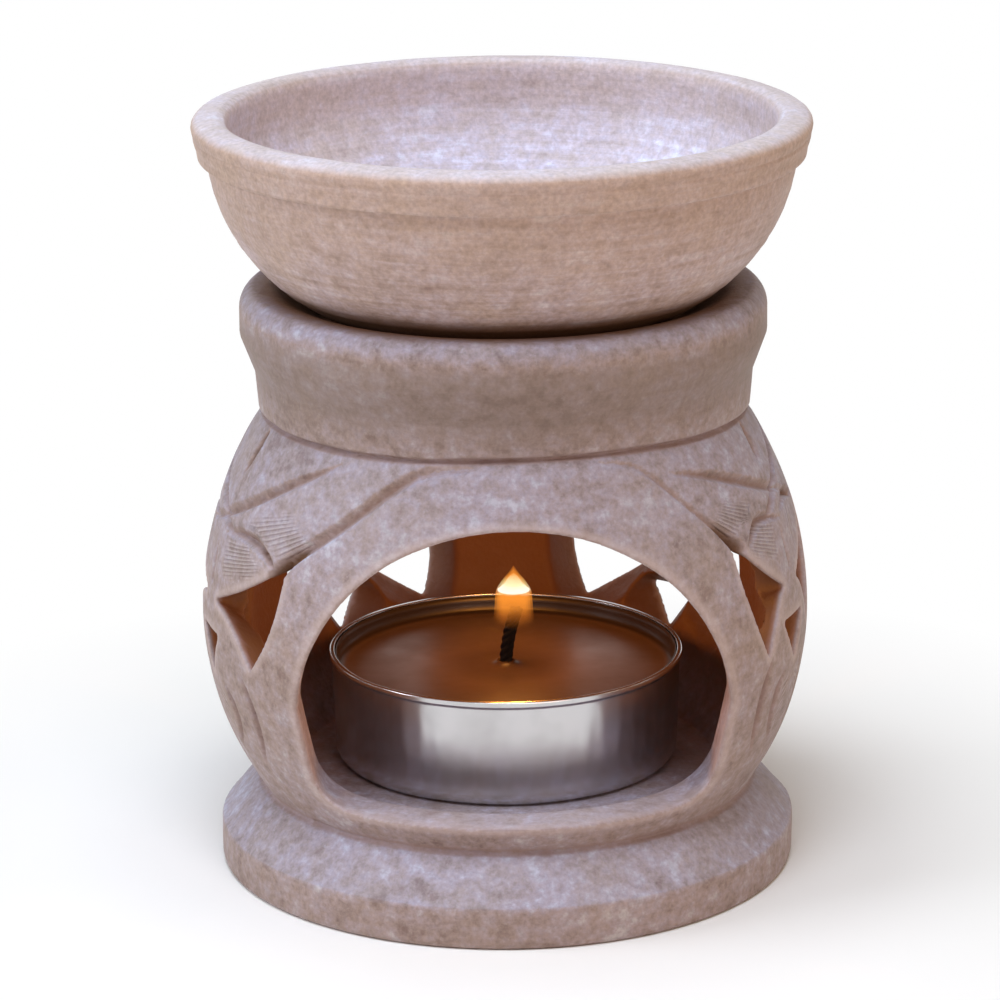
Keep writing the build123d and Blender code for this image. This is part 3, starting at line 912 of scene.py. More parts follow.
    def chart(self) -> None:
        """Fills the maps that the stand's shape is read from."""
        self.outer_map = FieldMap.blank((0.0, -2.0), (36.0, 67.0), 0.1)
        a, b = np.meshgrid(*self.outer_map.axes(), indexing="ij")
        outline = self.outer_outline()
        outline += [(-9.0, self.rim[1]), (-9.0, 0.0)]
        self.outer_map.values[:] = outline_distance(a, b, outline)
        self.cavity_map = FieldMap.blank((0.0, -2.0), (36.0, 67.0), 0.1)
        self.cavity_map.values[:] = outline_distance(a, b, self.cavity_outline())
        self.arch_map = FieldMap.blank((-35.0, 8.0), (35.0, 50.0), 0.1)
        a, b = np.meshgrid(*self.arch_map.axes(), indexing="ij")
        self.arch_map.values[:] = outline_distance(a, b, self.arch_outline())
        girth = math.pi * self.bulge[0]
        self.window_map = FieldMap.blank((-girth, 8.0), (girth, 56.0), 0.1, 9.0)
        self.carve_map = FieldMap.blank((-girth, 8.0), (girth, 56.0), 0.08)
        self.vein_row = FieldMap.blank((-girth, 8.0), (girth, 56.0), 0.1)
        self.vein_share = FieldMap.blank((-girth, 8.0), (girth, 56.0), 0.1)
        rng = np.random.default_rng(self.seed)
        for panel in self.panels:
            self.chart_panel(panel, rng)
        lengths = rng.uniform(5.0, 16.0, 10)
        ways = rng.normal(size=(10, 3))
        ways *= (2.0 * math.pi / lengths / np.linalg.norm(ways, axis=1))[:, None]
        self.waves = np.column_stack((ways, rng.uniform(0.0, 6.28, 10)))

    def chart_panel(self, panel: LeafPanel, rng: np.random.Generator) -> None:
        """Draws one panel's openings and cuts on the maps.

        Args:
            panel: where the panel is.
            rng: source of the hand's unevenness.
        """
        centre = math.radians(panel.azimuth) * self.bulge[0]
        width = self.window_w * panel.width_share
        half, drop = self.low_hole
        shapes = [
            [(side * u, v) for u, v in self.window_outline(panel)] for side in (-1.0, panel.outer_share)
        ]
        shapes.append(
            [(-half, self.low_hole_rise), (half, self.low_hole_rise), (0.0, self.low_hole_rise - drop)]
        )
        for shape in shapes:
            outline = [(centre + u, panel.foot_z + v) for u, v in shape]
            us, vs = zip(*outline)
            cut, a, b = self.window_map.window(
                (min(us) - 4.0, max(us) + 4.0), (min(vs) - 4.0, max(vs) + 4.0),
            )
            near = outline_distance(a, b, outline)
            self.window_map.values[cut] = np.minimum(self.window_map.values[cut], near)
        top = panel.foot_z + self.window_h
        spans = {
            Zone.ABOVE: (top, self.belly_top[1] - top),
            Zone.WINDOW: (top, self.window_h),
            Zone.BELOW: (panel.foot_z, self.waist[1] - panel.foot_z),
        }
        for shape in self.cuts(panel):
            start, length = spans[shape.zone]
            for side in shape.sides:
                drawn = np.array(shape.rows)
                drawn[:, 0] = centre + side * (self.stem_gap + width) * drawn[:, 0]
                drawn[:, 1] = start + length * drawn[:, 1]
                drawn[:, :2] += rng.uniform(-0.14, 0.14, (len(drawn), 2))
                line = np.maximum(smooth_line(drawn), (-1e9, -1e9, 0.05, 0.0))
                steep = max(0.35, 2.0 - shape.bevel) if shape.bevel != 1.0 else 1.0
                bevels = (shape.bevel, steep) if side > 0.0 else (steep, shape.bevel)
                self.carve(line, *bevels)
        for fan in self.fans():
            start, length = spans[fan.zone]
            for side in (-1.0, 1.0):
                corners = np.array((fan.start, fan.last_start, fan.end, fan.last_end))
                corners[:, 0] = centre + side * (self.stem_gap + width) * corners[:, 0]
                corners[:, 1] = start + length * corners[:, 1]
                self.draw_fan(corners, fan.count)

    def field(self, x: np.ndarray, y: np.ndarray, z: np.ndarray) -> np.ndarray:
        """Measures how far points are from the stone, negative inside it.

        Args:
            x: first coordinates in millimetres.
            y: second coordinates.
            z: heights.

        Returns:
            The field at the points.
        """
        reach = np.hypot(x, y)
        round_u = np.arctan2(x, -y) * self.bulge[0]
        waver = np.zeros(x.shape)
        for a, b, c, phase in self.waves:
            waver += np.sin(a * x + b * y + c * z + phase)
        waver *= 0.016 * np.clip((z - 0.6) / 3.0, 0.0, 1.0) * np.clip(
            (self.seat_z - 0.5 - z) / 3.0, 0.0, 1.0,
        )
        lift = self.front_lift * np.exp(
            -(((round_u - 9.0) / 23.0) ** 2) - ((z - self.belly_top[1] - 0.5) / 3.5) ** 2
        )
        outer = self.outer_map.read(reach, z - lift) + self.carve_map.read(round_u, z) + waver
        solid = smooth_max(outer, -self.cavity_map.read(reach, z), 0.4)
        fall = self.sill_fall * np.clip(reach - 25.6, 0.0, 4.0) * np.clip(
            (self.sill_z + 6.0 - z) / 4.0, 0.0, 1.0,
        )
        low = np.clip((self.spring_z + 8.0 - z) / 8.0, 0.0, 1.0)
        jamb = low * np.clip((z - self.sill_z - 1.5) / 3.0, 0.0, 1.0)
        flare = 0.22 * jamb * np.clip(outer + 1.2, 0.0, 1.2) - 0.25 * (1.0 - low)
        door = np.where(y < 0.0, flare - self.arch_map.read(x, z + fall), -9.0)
        solid = smooth_max(solid, door + 0.6 * waver, 0.5)
        inward = np.clip(-outer, 0.0, 6.0)
        pierced = np.where(
            reach > 12.0, self.window_splay * inward - self.window_map.read(round_u, z), -9.0,
        )
        return smooth_max(solid, pierced + 0.6 * waver, 0.7)

    def settle(self, points: np.ndarray, limit: float, rounds: int) -> tuple[np.ndarray, np.ndarray]:
        """Moves points onto the stone's surface.

        Args:
            points: rows of coordinates in millimetres.
            limit: furthest move in one round.
            rounds: number of moves.

        Returns:
            The moved points and the surface directions there.
        """
        probe = 0.06
        slope = np.zeros(points.shape)
        for _ in range(rounds):
            for axis in range(3):
                shift = np.zeros(3)
                shift[axis] = probe
                slope[:, axis] = self.field(*(points + shift).T) - self.field(*(points - shift).T)
            slope /= 2.0 * probe
            size = np.maximum((slope**2).sum(1), 0.05)
            move = -(self.field(*points.T) / size)[:, None] * slope
            length = np.maximum(np.linalg.norm(move, axis=1), 1e-9)
            points = points + move * np.minimum(1.0, limit / length)[:, None]
        points[:, 2] = np.maximum(points[:, 2], 0.0)
        return points, slope / np.maximum(np.linalg.norm(slope, axis=1), 1e-9)[:, None]

    def skin(self, step: float) -> tuple[np.ndarray, np.ndarray]:
        """Draws a net of four-sided faces over the stone.

        Args:
            step: spacing of the grid in millimetres.

        Returns:
            The points and the faces.
        """
        half = self.bulge[0] + 2.0 * step
        flat = np.arange(-half, half + step, step)
        tall = np.arange(-2.0 * step, self.rim[1] + 3.0 * step, step)
        x, y = np.meshgrid(flat, flat, indexing="ij")
        reach = np.hypot(x, y)
        values = np.full((len(flat), len(flat), len(tall)), 3.0, np.float32)
        for k, z in enumerate(tall):
            level = np.full(x.shape, z)
            rough = np.maximum(self.outer_map.read(reach, level), -self.cavity_map.read(reach, level))
            near = rough < 1.6
            if near.any():
                values[:, :, k][near] = self.field(x[near], y[near], level[near])
        sizes = np.array(values.shape) - 1
        corners = [(i, j, k) for i in (0, 1) for j in (0, 1) for k in (0, 1)]
        inside = values < 0.0
        held = np.zeros(sizes, np.int8)
        for i, j, k in corners:
            held += inside[i : sizes[0] + i, j : sizes[1] + j, k : sizes[2] + k]
        cells = np.argwhere((held > 0) & (held < 8))
        number = np.full(sizes, -1, np.int32)
        number[tuple(cells.T)] = np.arange(len(cells))
        at = np.stack([values[tuple((cells + c).T)] for c in np.array(corners)], 1)
        total, count = np.zeros((len(cells), 3)), np.zeros(len(cells))
        for a, b in [(p, q) for p in range(8) for q in range(p + 1, 8)]:
            way = np.subtract(corners[b], corners[a])
            if np.abs(way).sum() != 1:
                continue
            crossed = (at[:, a] < 0.0) != (at[:, b] < 0.0)
            share = at[crossed, a] / (at[crossed, a] - at[crossed, b])
            total[crossed] += np.array(corners[a]) + share[:, None] * way
            count[crossed] += 1
        points = (cells + total / count[:, None]) * step + (flat[0], flat[0], tall[0])
        faces = []
        for axis in range(3):
            one, two = (axis + 1) % 3, (axis + 2) % 3
            begin = np.moveaxis(inside, axis, 0)[:-1]
            end = np.moveaxis(inside, axis, 0)[1:]
            spots = np.argwhere(np.moveaxis(begin != end, 0, axis))
            spots = spots[(spots[:, one] > 0) & (spots[:, two] > 0)]
            spots = spots[(spots[:, one] < sizes[one]) & (spots[:, two] < sizes[two])]
            steps = np.zeros((4, 3), int)
            steps[1, one] = steps[2, one] = steps[2, two] = steps[3, two] = -1
            quad = np.stack([number[tuple((spots + s).T)] for s in steps], 1)
            leaving = inside[tuple(spots.T)]
            quad[~leaving] = quad[~leaving][:, ::-1]
            faces.append(quad)
        return points, np.vstack(faces)

    def build(self) -> bpy.types.Object:
        """Carves the stand and stores its masks of painted light and shade, of rubbed edges and of veins.

        Returns:
            The stand's object.
        """
        self.chart()
        step = 0.31
        points, faces = self.skin(step)
        points, _ = self.settle(points, 0.5 * step, 2)
        mesh = bpy.data.meshes.new("carved_stand")
        mesh.from_pydata([], [], [])
        fill_mesh(mesh, points * MM, faces)
        mesh = thinned(mesh, self.triangles)
        points = mesh_points(mesh) / MM
        points, slope = self.settle(points, 0.12, 1)
        mesh.vertices.foreach_set("co", (points * MM).astype(np.float32).ravel())
        depth = 0.9
        # convex edges: rubbed wear and a painted edge highlight
        wear_and_highlight = np.clip(1.0 + self.field(*(points - slope * depth).T) / depth, 0.0, 1.0)
        # how deep in a crease a point lies, the mask of the painted crease shade
        crease_share = np.clip(1.0 - self.field(*(points + slope * depth).T) / depth, 0.0, 1.0)
        x, y, z = points.T
        round_u, reach = np.arctan2(x, -y) * self.bulge[0], np.hypot(x, y)
        # painted light: the front sill's top lightened
        sill_top_light = np.clip(
            1.6 - np.abs(z - self.sill_z) / 0.8, 0.0, 1.0,
        ) * np.clip((reach - 23.0) / 1.5, 0.0, 1.0)
        sill_top_light *= np.clip((self.arch_foot_half - np.abs(x - self.arch_shift)) / 2.0, 0.0, 1.0) * (y < 0.0)
        store_number(mesh, "edge_wear_and_highlight", np.maximum(wear_and_highlight, 0.5 * sill_top_light))
        # upward facing share, the mask of the painted top light
        store_number(mesh, "up_facing_light", np.clip(slope[:, 2], 0.0, 1.0))
        store_number(mesh, "crease_shade", crease_share)
        outside = np.clip(1.0 + 2.0 * (self.outer_map.read(reach, z) + 1.4), 0.0, 1.0)
        store_number(mesh, "vein_row", self.vein_row.read(round_u, z))
        store_number(mesh, "vein_share", self.vein_share.read(round_u, z) * outside)
        # painted shade: darker inside the chamber, more so higher up and towards the back
        cavity_shade = np.clip(
            1.3 - self.cavity_map.read(reach, z) / 2.5, 0.0, 1.0,
        ) * np.clip((54.0 - z) / 4.0, 0.0, 1.0)
        cavity_shade *= np.clip(0.45 + (z - self.sill_z) / 8.0, 0.45, 1.0) * np.clip(0.7 + y / 22.0, 0.0, 1.0)
        # painted shade on the walls of the windows
        inward = np.clip((-0.25 - self.outer_map.read(reach, z)) / 0.6, 0.0, 1.0)
        cavity_shade = np.maximum(cavity_shade, 0.97 * inward * np.clip(4.0 - self.window_map.read(round_u, z), 0.0, 1.0))
        # painted shadow of the bowl on the collar's dish and rim
        dish_shadow = np.clip((self.rim[0] + 0.5 - reach) / 1.2, 0.0, 1.0) * np.clip((z - 58.0) / 2.0, 0.0, 1.0)
        store_number(mesh, "cavity_shade", np.maximum(cavity_shade, dish_shadow))
        finish = StoneFinish("carved_soapstone", streak=0.22, pink=0.35, shade=0.7, carved=True)
        return finished("carved_stand", mesh, finish.material(), Body.STAND, Slot.STAND, "stand")


def fill_mesh(mesh: bpy.types.Mesh, points: np.ndarray, faces: np.ndarray) -> None:
    """Fills an empty mesh with points and faces of one corner count."""
    mesh.vertices.add(len(points))
    mesh.vertices.foreach_set("co", points.astype(np.float32).ravel())
    count, sides = faces.shape
    mesh.loops.add(count * sides)
    mesh.loops.foreach_set("vertex_index", faces.astype(np.int32).ravel())
    mesh.polygons.add(count)
    mesh.polygons.foreach_set("loop_start", np.arange(0, count * sides, sides, dtype=np.int32))
    mesh.update(calc_edges=True)
    mesh.validate()


def mesh_points(mesh: bpy.types.Mesh) -> np.ndarray:
    """Gives the points of a mesh as rows."""
    points = np.zeros(len(mesh.vertices) * 3, np.float32)
    mesh.vertices.foreach_get("co", points)
    return points.reshape(-1, 3).astype(float)


def store_number(mesh: bpy.types.Mesh, name: str, values: np.ndarray) -> None:
    """Stores one number on every point of a mesh."""
    mesh.attributes.new(name, "FLOAT", "POINT").data.foreach_set("value", values.astype(np.float32))


def evaluated(obj: bpy.types.Object) -> bpy.types.Mesh:
    """Makes a plain mesh of an object with its modifiers, and removes the object."""
    graph = bpy.context.evaluated_depsgraph_get()
    graph.update()
    mesh = bpy.data.meshes.new_from_object(
        obj.evaluated_get(graph), preserve_all_data_layers=True, depsgraph=graph,
    )
    obj.modifiers.clear()
    bpy.data.objects.remove(obj)
    return mesh


def shown(name: str, mesh: bpy.types.Mesh) -> bpy.types.Object:
    """Puts a mesh into the scene under a name."""
    obj = bpy.data.objects.new(name, mesh)
    bpy.context.scene.collection.objects.link(obj)
    return obj


def thinned(mesh: bpy.types.Mesh, triangles: int) -> bpy.types.Mesh:
    """Thins a mesh where it is flat.

    Args:
        mesh: mesh to thin.
        triangles: most triangles that it keeps.

    Returns:
        The thinned mesh.
    """
    have = sum(len(p.vertices) - 2 for p in mesh.polygons)
    obj = shown("thinning", mesh)
    modifier = obj.modifiers.new("thin", "DECIMATE")
    modifier.ratio = min(1.0, triangles / have)
    modifier.use_collapse_triangulate = True
    return evaluated(obj)


def finished(
    name: str, mesh: bpy.types.Mesh, material: bpy.types.Material, body: Body, slot: Slot | None,
    *nodes: str,
) -> bpy.types.Object:
    """Dresses a mesh and joins it to its body.

    Args:
        name: name of the piece.
        mesh: its final mesh.
        material: its finish.
        body: body that it moves with.
        slot: slot of the record, if it has one; not used.
        nodes: frame nodes that it stands for.

    Returns:
        The piece.
    """
    shape = bmesh.new()
    shape.from_mesh(mesh)
    if shape.calc_volume(signed=True) < 0.0:
        bmesh.ops.reverse_faces(shape, faces=shape.faces)
        shape.to_mesh(mesh)
    shape.free()
    mesh.materials.clear()
    mesh.materials.append(material)
    mesh.polygons.foreach_set("use_smooth", np.ones(len(mesh.polygons), bool))
    mesh.name = name
    obj = shown(name, mesh)
    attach(obj, body.value)
    if nodes:
        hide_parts(*nodes)
    LOG.info("%s: %d faces on %s", name, len(mesh.polygons), body.value)
    return obj


class LatheTree:
    """Geometry nodes that turn an outline about an upright axis."""

    FLOATS = (
        "Ring Depth", "Ring Pitch", "Dent Depth", "Dent Pitch", "Flute Depth", "Flute Low", "Flute High",
    )

    def __init__(self) -> None:
        """Builds the tree once, for every turned piece."""
        self.tree = bpy.data.node_groups.new("turned_piece", "GeometryNodeTree")
        sockets = self.tree.interface
        sockets.new_socket("Outline", in_out="INPUT", socket_type="NodeSocketGeometry")
        sockets.new_socket("Segments", in_out="INPUT", socket_type="NodeSocketInt")
        sockets.new_socket("Flutes", in_out="INPUT", socket_type="NodeSocketInt")
        sockets.new_socket("Centre", in_out="INPUT", socket_type="NodeSocketVector")
        for name in self.FLOATS:
            sockets.new_socket(name, in_out="INPUT", socket_type="NodeSocketFloat")
        sockets.new_socket("Finish", in_out="INPUT", socket_type="NodeSocketMaterial")
        sockets.new_socket("Piece", in_out="OUTPUT", socket_type="NodeSocketGeometry")
        self.fill()

    def fill(self) -> None:
        """Adds the nodes of the tree."""
        sheet = NodeSheet(self.tree)
        given = sheet.add("NodeGroupInput").outputs
        rows = sheet.add(
            "GeometryNodeAttributeDomainSize", {0: given["Outline"]}, component="MESH",
        ).outputs[0]
        columns = sheet.math("ADD", given["Segments"], 1.0)
        grid = sheet.add(
            "GeometryNodeMeshGrid",
            {"Size X": 1.0, "Size Y": 1.0, "Vertices X": columns, "Vertices Y": rows},
        )
        place = sheet.add(
            "ShaderNodeSeparateXYZ", {0: sheet.add("GeometryNodeInputPosition").outputs[0]},
        ).outputs
        turn = sheet.math("MULTIPLY", sheet.math("ADD", place[0], 0.5), 2.0 * math.pi)
        last = sheet.math("SUBTRACT", rows, 1.0)
        row = sheet.math("ROUND", sheet.math("MULTIPLY", sheet.math("ADD", place[1], 0.5), last))
        here = self.outline_at(sheet, given, row)
        after = self.outline_at(sheet, given, sheet.math("MINIMUM", sheet.math("ADD", row, 1.0), last))
        before = self.outline_at(sheet, given, sheet.math("MAXIMUM", sheet.math("SUBTRACT", row, 1.0), 0.0))
        way = sheet.vector("NORMALIZE", sheet.vector("SUBTRACT", after, before))
        way = sheet.add("ShaderNodeSeparateXYZ", {0: way}).outputs
        point = sheet.add("ShaderNodeSeparateXYZ", {0: here}).outputs
        ring_at = sheet.math("ADD", point[2], sheet.math("MULTIPLY", point[0], 0.7))
        rings = sheet.add(
            "ShaderNodeTexNoise",
            {"W": sheet.math("DIVIDE", ring_at, given["Ring Pitch"]), "Scale": 1.0, "Detail": 3.0},
            noise_dimensions="1D",
        ).outputs[0]
        cosine, sine = sheet.math("COSINE", turn), sheet.math("SINE", turn)
        around = sheet.add(
            "ShaderNodeCombineXYZ",
            {
                0: sheet.math("MULTIPLY", point[0], cosine), 1: sheet.math("MULTIPLY", point[0], sine),
                2: point[2],
            },
        ).outputs[0]
        dent_place = sheet.vector("SCALE", around, scale=sheet.math("DIVIDE", 1.0, given["Dent Pitch"]))
        dents = sheet.noise(dent_place, 1.0, 2.0)
        bottom = sheet.math("SUBTRACT", point[2], given["Flute Low"])
        tall = sheet.math("SUBTRACT", given["Flute High"], given["Flute Low"])
        rise = sheet.math("DIVIDE", bottom, sheet.math("MAXIMUM", tall, 1e-6))
        bow = sheet.math(
            "MULTIPLY", sheet.math("MULTIPLY", rise, sheet.math("SUBTRACT", 1.0, rise)), 4.0, True,
        )
        uneven = sheet.math("MULTIPLY", dents, 5.0)
        waves = sheet.math("SINE", sheet.math("ADD", sheet.math("MULTIPLY", turn, given["Flutes"]), uneven))
        offset = sheet.math("MULTIPLY", sheet.math("SUBTRACT", rings, 0.5), given["Ring Depth"])
        dent = sheet.math("MULTIPLY", sheet.math("SUBTRACT", dents, 0.5), given["Dent Depth"])
        flute = sheet.math("MULTIPLY", sheet.math("MULTIPLY", waves, bow), given["Flute Depth"])
        offset = sheet.math("ADD", sheet.math("ADD", offset, dent), flute)
        out = sheet.math("ADD", point[0], sheet.math("MULTIPLY", way[2], offset))
        up = sheet.math("SUBTRACT", point[2], sheet.math("MULTIPLY", way[0], offset))
        turned = sheet.add(
            "ShaderNodeCombineXYZ",
            {0: sheet.math("MULTIPLY", out, cosine), 1: sheet.math("MULTIPLY", out, sine), 2: up},
        ).outputs[0]
        turned = sheet.vector("ADD", turned, given["Centre"])
        shape = sheet.add(
            "GeometryNodeSetPosition", {"Geometry": grid.outputs["Mesh"], "Position": turned},
        ).outputs[0]
        shape = sheet.add(
            "GeometryNodeMergeByDistance", {"Geometry": shape, "Distance": 0.002 * MM},
        ).outputs[0]
        shape = sheet.add("GeometryNodeRealizeInstances", {0: shape}).outputs[0]
        shape = sheet.add(
            "GeometryNodeSetMaterial", {"Geometry": shape, "Material": given["Finish"]},
        ).outputs[0]
        sheet.add("NodeGroupOutput", {0: shape})

    @staticmethod
    def outline_at(sheet: NodeSheet, given: Any, row: Any) -> bpy.types.NodeSocket:
        """Reads the outline's point of a row."""
        index = sheet.add("GeometryNodeSampleIndex", data_type="FLOAT_VECTOR", domain="POINT")
        sheet.tree.links.new(given["Outline"], index.inputs["Geometry"])
        sheet.tree.links.new(sheet.add("GeometryNodeInputPosition").outputs[0], index.inputs["Value"])
        sheet.tree.links.new(row, index.inputs["Index"])
        return index.outputs[0]

    def turn(
        self, outline: Sequence[Point], material: bpy.types.Material, sizes: dict[str, Any],
    ) -> bpy.types.Mesh:
        """Turns an outline into a plain mesh.

        Args:
            outline: points of radius and height in millimetres, from the axis round to the axis.
            material: finish of the piece.
            sizes: the tree's inputs by name, in metres.

        Returns:
            The mesh.
        """
        mesh = bpy.data.meshes.new("outline")
        edges = [(i, i + 1) for i in range(len(outline) - 1)]
        mesh.from_pydata([(r * MM, 0.0, z * MM) for r, z in outline], edges, [])
        values = {"Segments": 192, "Flutes": 0, "Centre": (0.0, 0.0, 0.0), "Finish": material}
        values |= {name: 0.001 if name.endswith("Pitch") else 0.0 for name in self.FLOATS} | sizes
        return grown(self.tree, mesh, values)


def grown(tree: bpy.types.NodeTree, mesh: bpy.types.Mesh, values: dict[str, Any]) -> bpy.types.Mesh:
    """Runs a geometry tree on a mesh.

    Args:
        tree: the tree to run.
        mesh: geometry that it starts from.
        values: its inputs by name.

    Returns:
        The plain result.
    """
    obj = shown("growing", mesh)
    modifier = obj.modifiers.new("grow", "NODES")
    modifier.node_group = tree
    for item in tree.interface.items_tree:
        if item.in_out == "INPUT" and item.name in values:
            modifier[item.identifier] = values[item.name]
    return evaluated(obj)


@dataclass
class OilBowl:
    """Loose turned bowl with a rolled lip."""

    lathe: LatheTree
    foot: Point = (18.7, 61.15)
    foot_lip: float = 0.2
    side: Point = (31.0, 77.05)
    side_way: Point = (-0.135, -0.991)
    top_z: float = 82.2
    inner_r: float = 28.9
    inner_round: float = 1.3
    hollow_z: float = 68.45
    hollow_round: float = 10.0
    segments: int = 224

    def outline(self) -> list[Point]:
        """Gives the bowl's outline from under its foot round to the middle of the hollow."""
        foot = [
            (0.0, self.foot[1]), (self.foot[0] - 0.2, self.foot[1]),
            (self.foot[0], self.foot[1] + self.foot_lip),
        ]
        body = arc_points(self.side, foot[-1], self.side_way, 30)[::-1][1:] + [self.side]
        step = [
            (31.12, 77.6), (31.16, 77.68), (31.24, 77.72), (31.8, 77.8), (31.95, 77.85), (32.03, 77.95),
            (32.07, 78.2), (32.16, 78.7),
        ]
        groove = [(32.44, 79.75), (32.47, 79.95), (32.4, 80.1), (32.52, 80.25)]
        lip = [
            (32.6, 80.5), (32.66, 80.95), (32.6, 81.3), (32.4, 81.6), (32.05, 81.85), (31.5, 82.02),
            (30.8, 82.16),
        ]
        inner_top = (self.inner_r, self.top_z - self.inner_round)
        inner = arc_points((self.inner_r + self.inner_round, self.top_z), inner_top, (-1.0, 0.0), 8)
        side = [(self.inner_r, self.hollow_z + self.hollow_round)]
        floor_r = self.inner_r - self.hollow_round
        hollow = arc_points(side[0], (floor_r, self.hollow_z), (0.0, -1.0), 22)
        return spaced(
            foot + body + step + groove + lip + inner + side + hollow + [(0.0, self.hollow_z)], 0.5,
        )

    def build(self) -> bpy.types.Object:
        """Turns the bowl.

        Returns:
            The bowl's object.
        """
        # the bowl's finish paints top light in its hollow and shade low on its foot
        material = StoneFinish(
            "turned_soapstone", 0.5, 0.5, 0.93, lit_hollow=True, foot_shade=(63.9, 65.5), warm=(68.0, 79.0),
        ).material()
        sizes = {"Segments": self.segments, "Ring Depth": 0.16 * MM, "Ring Pitch": 0.9 * MM}
        sizes |= {"Dent Depth": 0.12 * MM, "Dent Pitch": 11.0 * MM}
        mesh = self.lathe.turn(self.outline(), material, sizes)
        x, y, z = mesh_points(mesh).T / MM
        body = np.array(arc_points(self.side, self.foot, self.side_way, 30)[::-1])
        inside = np.interp(z, body[:, 1], body[:, 0]) - 1.2 - np.hypot(x, y)
        hollow = np.clip(inside, 0.0, 1.0) * (z > self.hollow_z - 0.5)
        # mask of the painted top light: the bowl's hollow and the top of its lip
        store_number(
            mesh, "top_lit_share", np.maximum(hollow, np.clip((z - self.top_z + 0.9) / 0.6, 0.0, 1.0)),
        )
        return finished("turned_bowl", mesh, material, Body.BOWL, Slot.BOWL, "oil_bowl")


@dataclass
class Tealight:
    """Burning tealight: cup, wax, wick with its foot, and flame."""

    lathe: LatheTree
    setback: float = 1.5
    floor_z: float = 10.45
    top_z: float = 22.45
    cup_r: float = 19.0
    foot_r: float = 18.7
    wall: float = 0.3
    bead_r: float = 19.25
    wax_z: float = 20.35
    wick_top: tuple[float, float] = (1.2, 26.7)
    tip_z: float = 31.6
    veils: int = 4

    def centre(self) -> tuple[float, float, float]:
        """Gives the candle's axis in metres."""
        return (0.0, self.setback * MM, 0.0)

    def build_cup(self) -> bpy.types.Object:
        """Presses the cup.

        Returns:
            The cup's object.
        """
        inner_r = self.cup_r - self.wall
        corners = [
            (0.0, self.floor_z, 0.0), (self.foot_r, self.floor_z, 1.5),
            (self.cup_r, self.top_z - 0.75, 0.25),
        ]
        corners += [
            (self.bead_r, self.top_z - 0.62, 0.15), (self.bead_r, self.top_z, 0.2),
            (inner_r, self.top_z, 0.15),
        ]
        corners += [
            (self.foot_r - self.wall, self.floor_z + self.wall, 1.3), (0.0, self.floor_z + self.wall, 0.0),
        ]
        material = AluminiumFinish().material()
        sizes = {"Segments": 256, "Centre": self.centre(), "Flutes": 58, "Flute Depth": 0.02 * MM}
        sizes |= {"Flute Low": (self.floor_z + 0.8) * MM, "Flute High": (self.top_z - 0.6) * MM}
        sizes |= {"Dent Depth": 0.3 * MM, "Dent Pitch": 16.0 * MM}
        mesh = self.lathe.turn(spaced(eased(corners, 6), 0.6), material, sizes)
        return finished("tealight_cup_pressed", mesh, material, Body.TEALIGHT, Slot.CUP, "tealight_cup")

    def build_wax(self) -> bpy.types.Object:
        """Pours the wax, with its skin drawn up at the wall, dark there as painted shade of the cup's inner
        wall, and at the wick.

        Returns:
            The wax's object.
        """
        edge_r = 18.5
        low = self.floor_z + self.wall
        outline = [
            (0.9, low + 4.1), (1.7, low + 4.05), (1.8, low + 0.45), (5.55, low + 0.4), (5.65, low + 0.05),
        ]
        outline += [(17.0, low + 0.05), (18.15, low + 1.2)]
        # the film drawn up the wall carries the painted shade of the cup's inner wall
        film = self.top_z - 0.2
        outline += [
            (edge_r - 0.04, self.wax_z - 0.3), (edge_r + 0.1, film), (edge_r, film),
            (edge_r - 0.1, self.wax_z + 0.4),
        ]
        outline += [(edge_r - 0.45, self.wax_z + 0.1), (edge_r - 1.2, self.wax_z), (3.0, self.wax_z)]
        outline += [
            (1.6, self.wax_z + 0.08), (1.05, self.wax_z + 0.3), (0.9, self.wax_z + 0.5), (0.9, low + 4.1),
        ]
        material = WaxFinish().material()
        sizes = {"Segments": 160, "Centre": self.centre()}
        mesh = self.lathe.turn(spaced(outline, 0.8), material, sizes)
        return finished("tealight_wax_molten", mesh, material, Body.TEALIGHT, Slot.WAX, "tealight_wax")

    def build_foot(self) -> bpy.types.Object:
        """Stamps the wick's tin foot.

        Returns:
            The foot's object.
        """
        floor = self.floor_z + self.wall
        corners = [
            (0.86, floor, 0.0), (5.5, floor, 0.08), (5.5, floor + 0.3, 0.1), (2.0, floor + 0.34, 0.3),
        ]
        corners += [
            (1.6, floor + 1.0, 0.2), (1.55, floor + 4.0, 0.15), (0.86, floor + 4.0, 0.1),
            (0.86, floor, 0.0),
        ]
        material = TinFinish().material()
        mesh = self.lathe.turn(
            spaced(eased(corners, 4), 0.4), material, {"Segments": 72, "Centre": self.centre()},
        )
        return finished("wick_foot", mesh, material, Body.TEALIGHT, Slot.TIN, "wick_sustainer")

    def wick_path(self) -> np.ndarray:
        """Gives the line of the wick from the cup's floor to its bent tip."""
        lean, top = self.wick_top
        low = self.floor_z + self.wall + 0.05
        rows = (
            (0.0, low), (0.0, 0.5 * (low + self.wax_z)), (0.0, self.wax_z), (0.3 * lean, self.wax_z + 3.2),
            (lean, top),
        )
        return smooth_line([(x, self.setback, z) for x, z in rows], 8)

    def build_wick(self) -> bpy.types.Object:
        """Plaits the wick from strands along its path.

        Returns:
            The wick's object.
        """
        path = self.wick_path() * MM
        mesh = bpy.data.meshes.new("wick_path")
        mesh.from_pydata([tuple(p) for p in path], [(i, i + 1) for i in range(len(path) - 1)], [])
        material = CharFinish().material()
        values = {
            "Strands": 4, "Turns": 4.5, "Spread": 0.38 * MM, "Strand": 0.36 * MM, "Points": 90,
            "Finish": material,
        }
        mesh = grown(plait_tree(), mesh, values)
        return finished("wick_plait", mesh, material, Body.TEALIGHT, Slot.WICK, "wick")

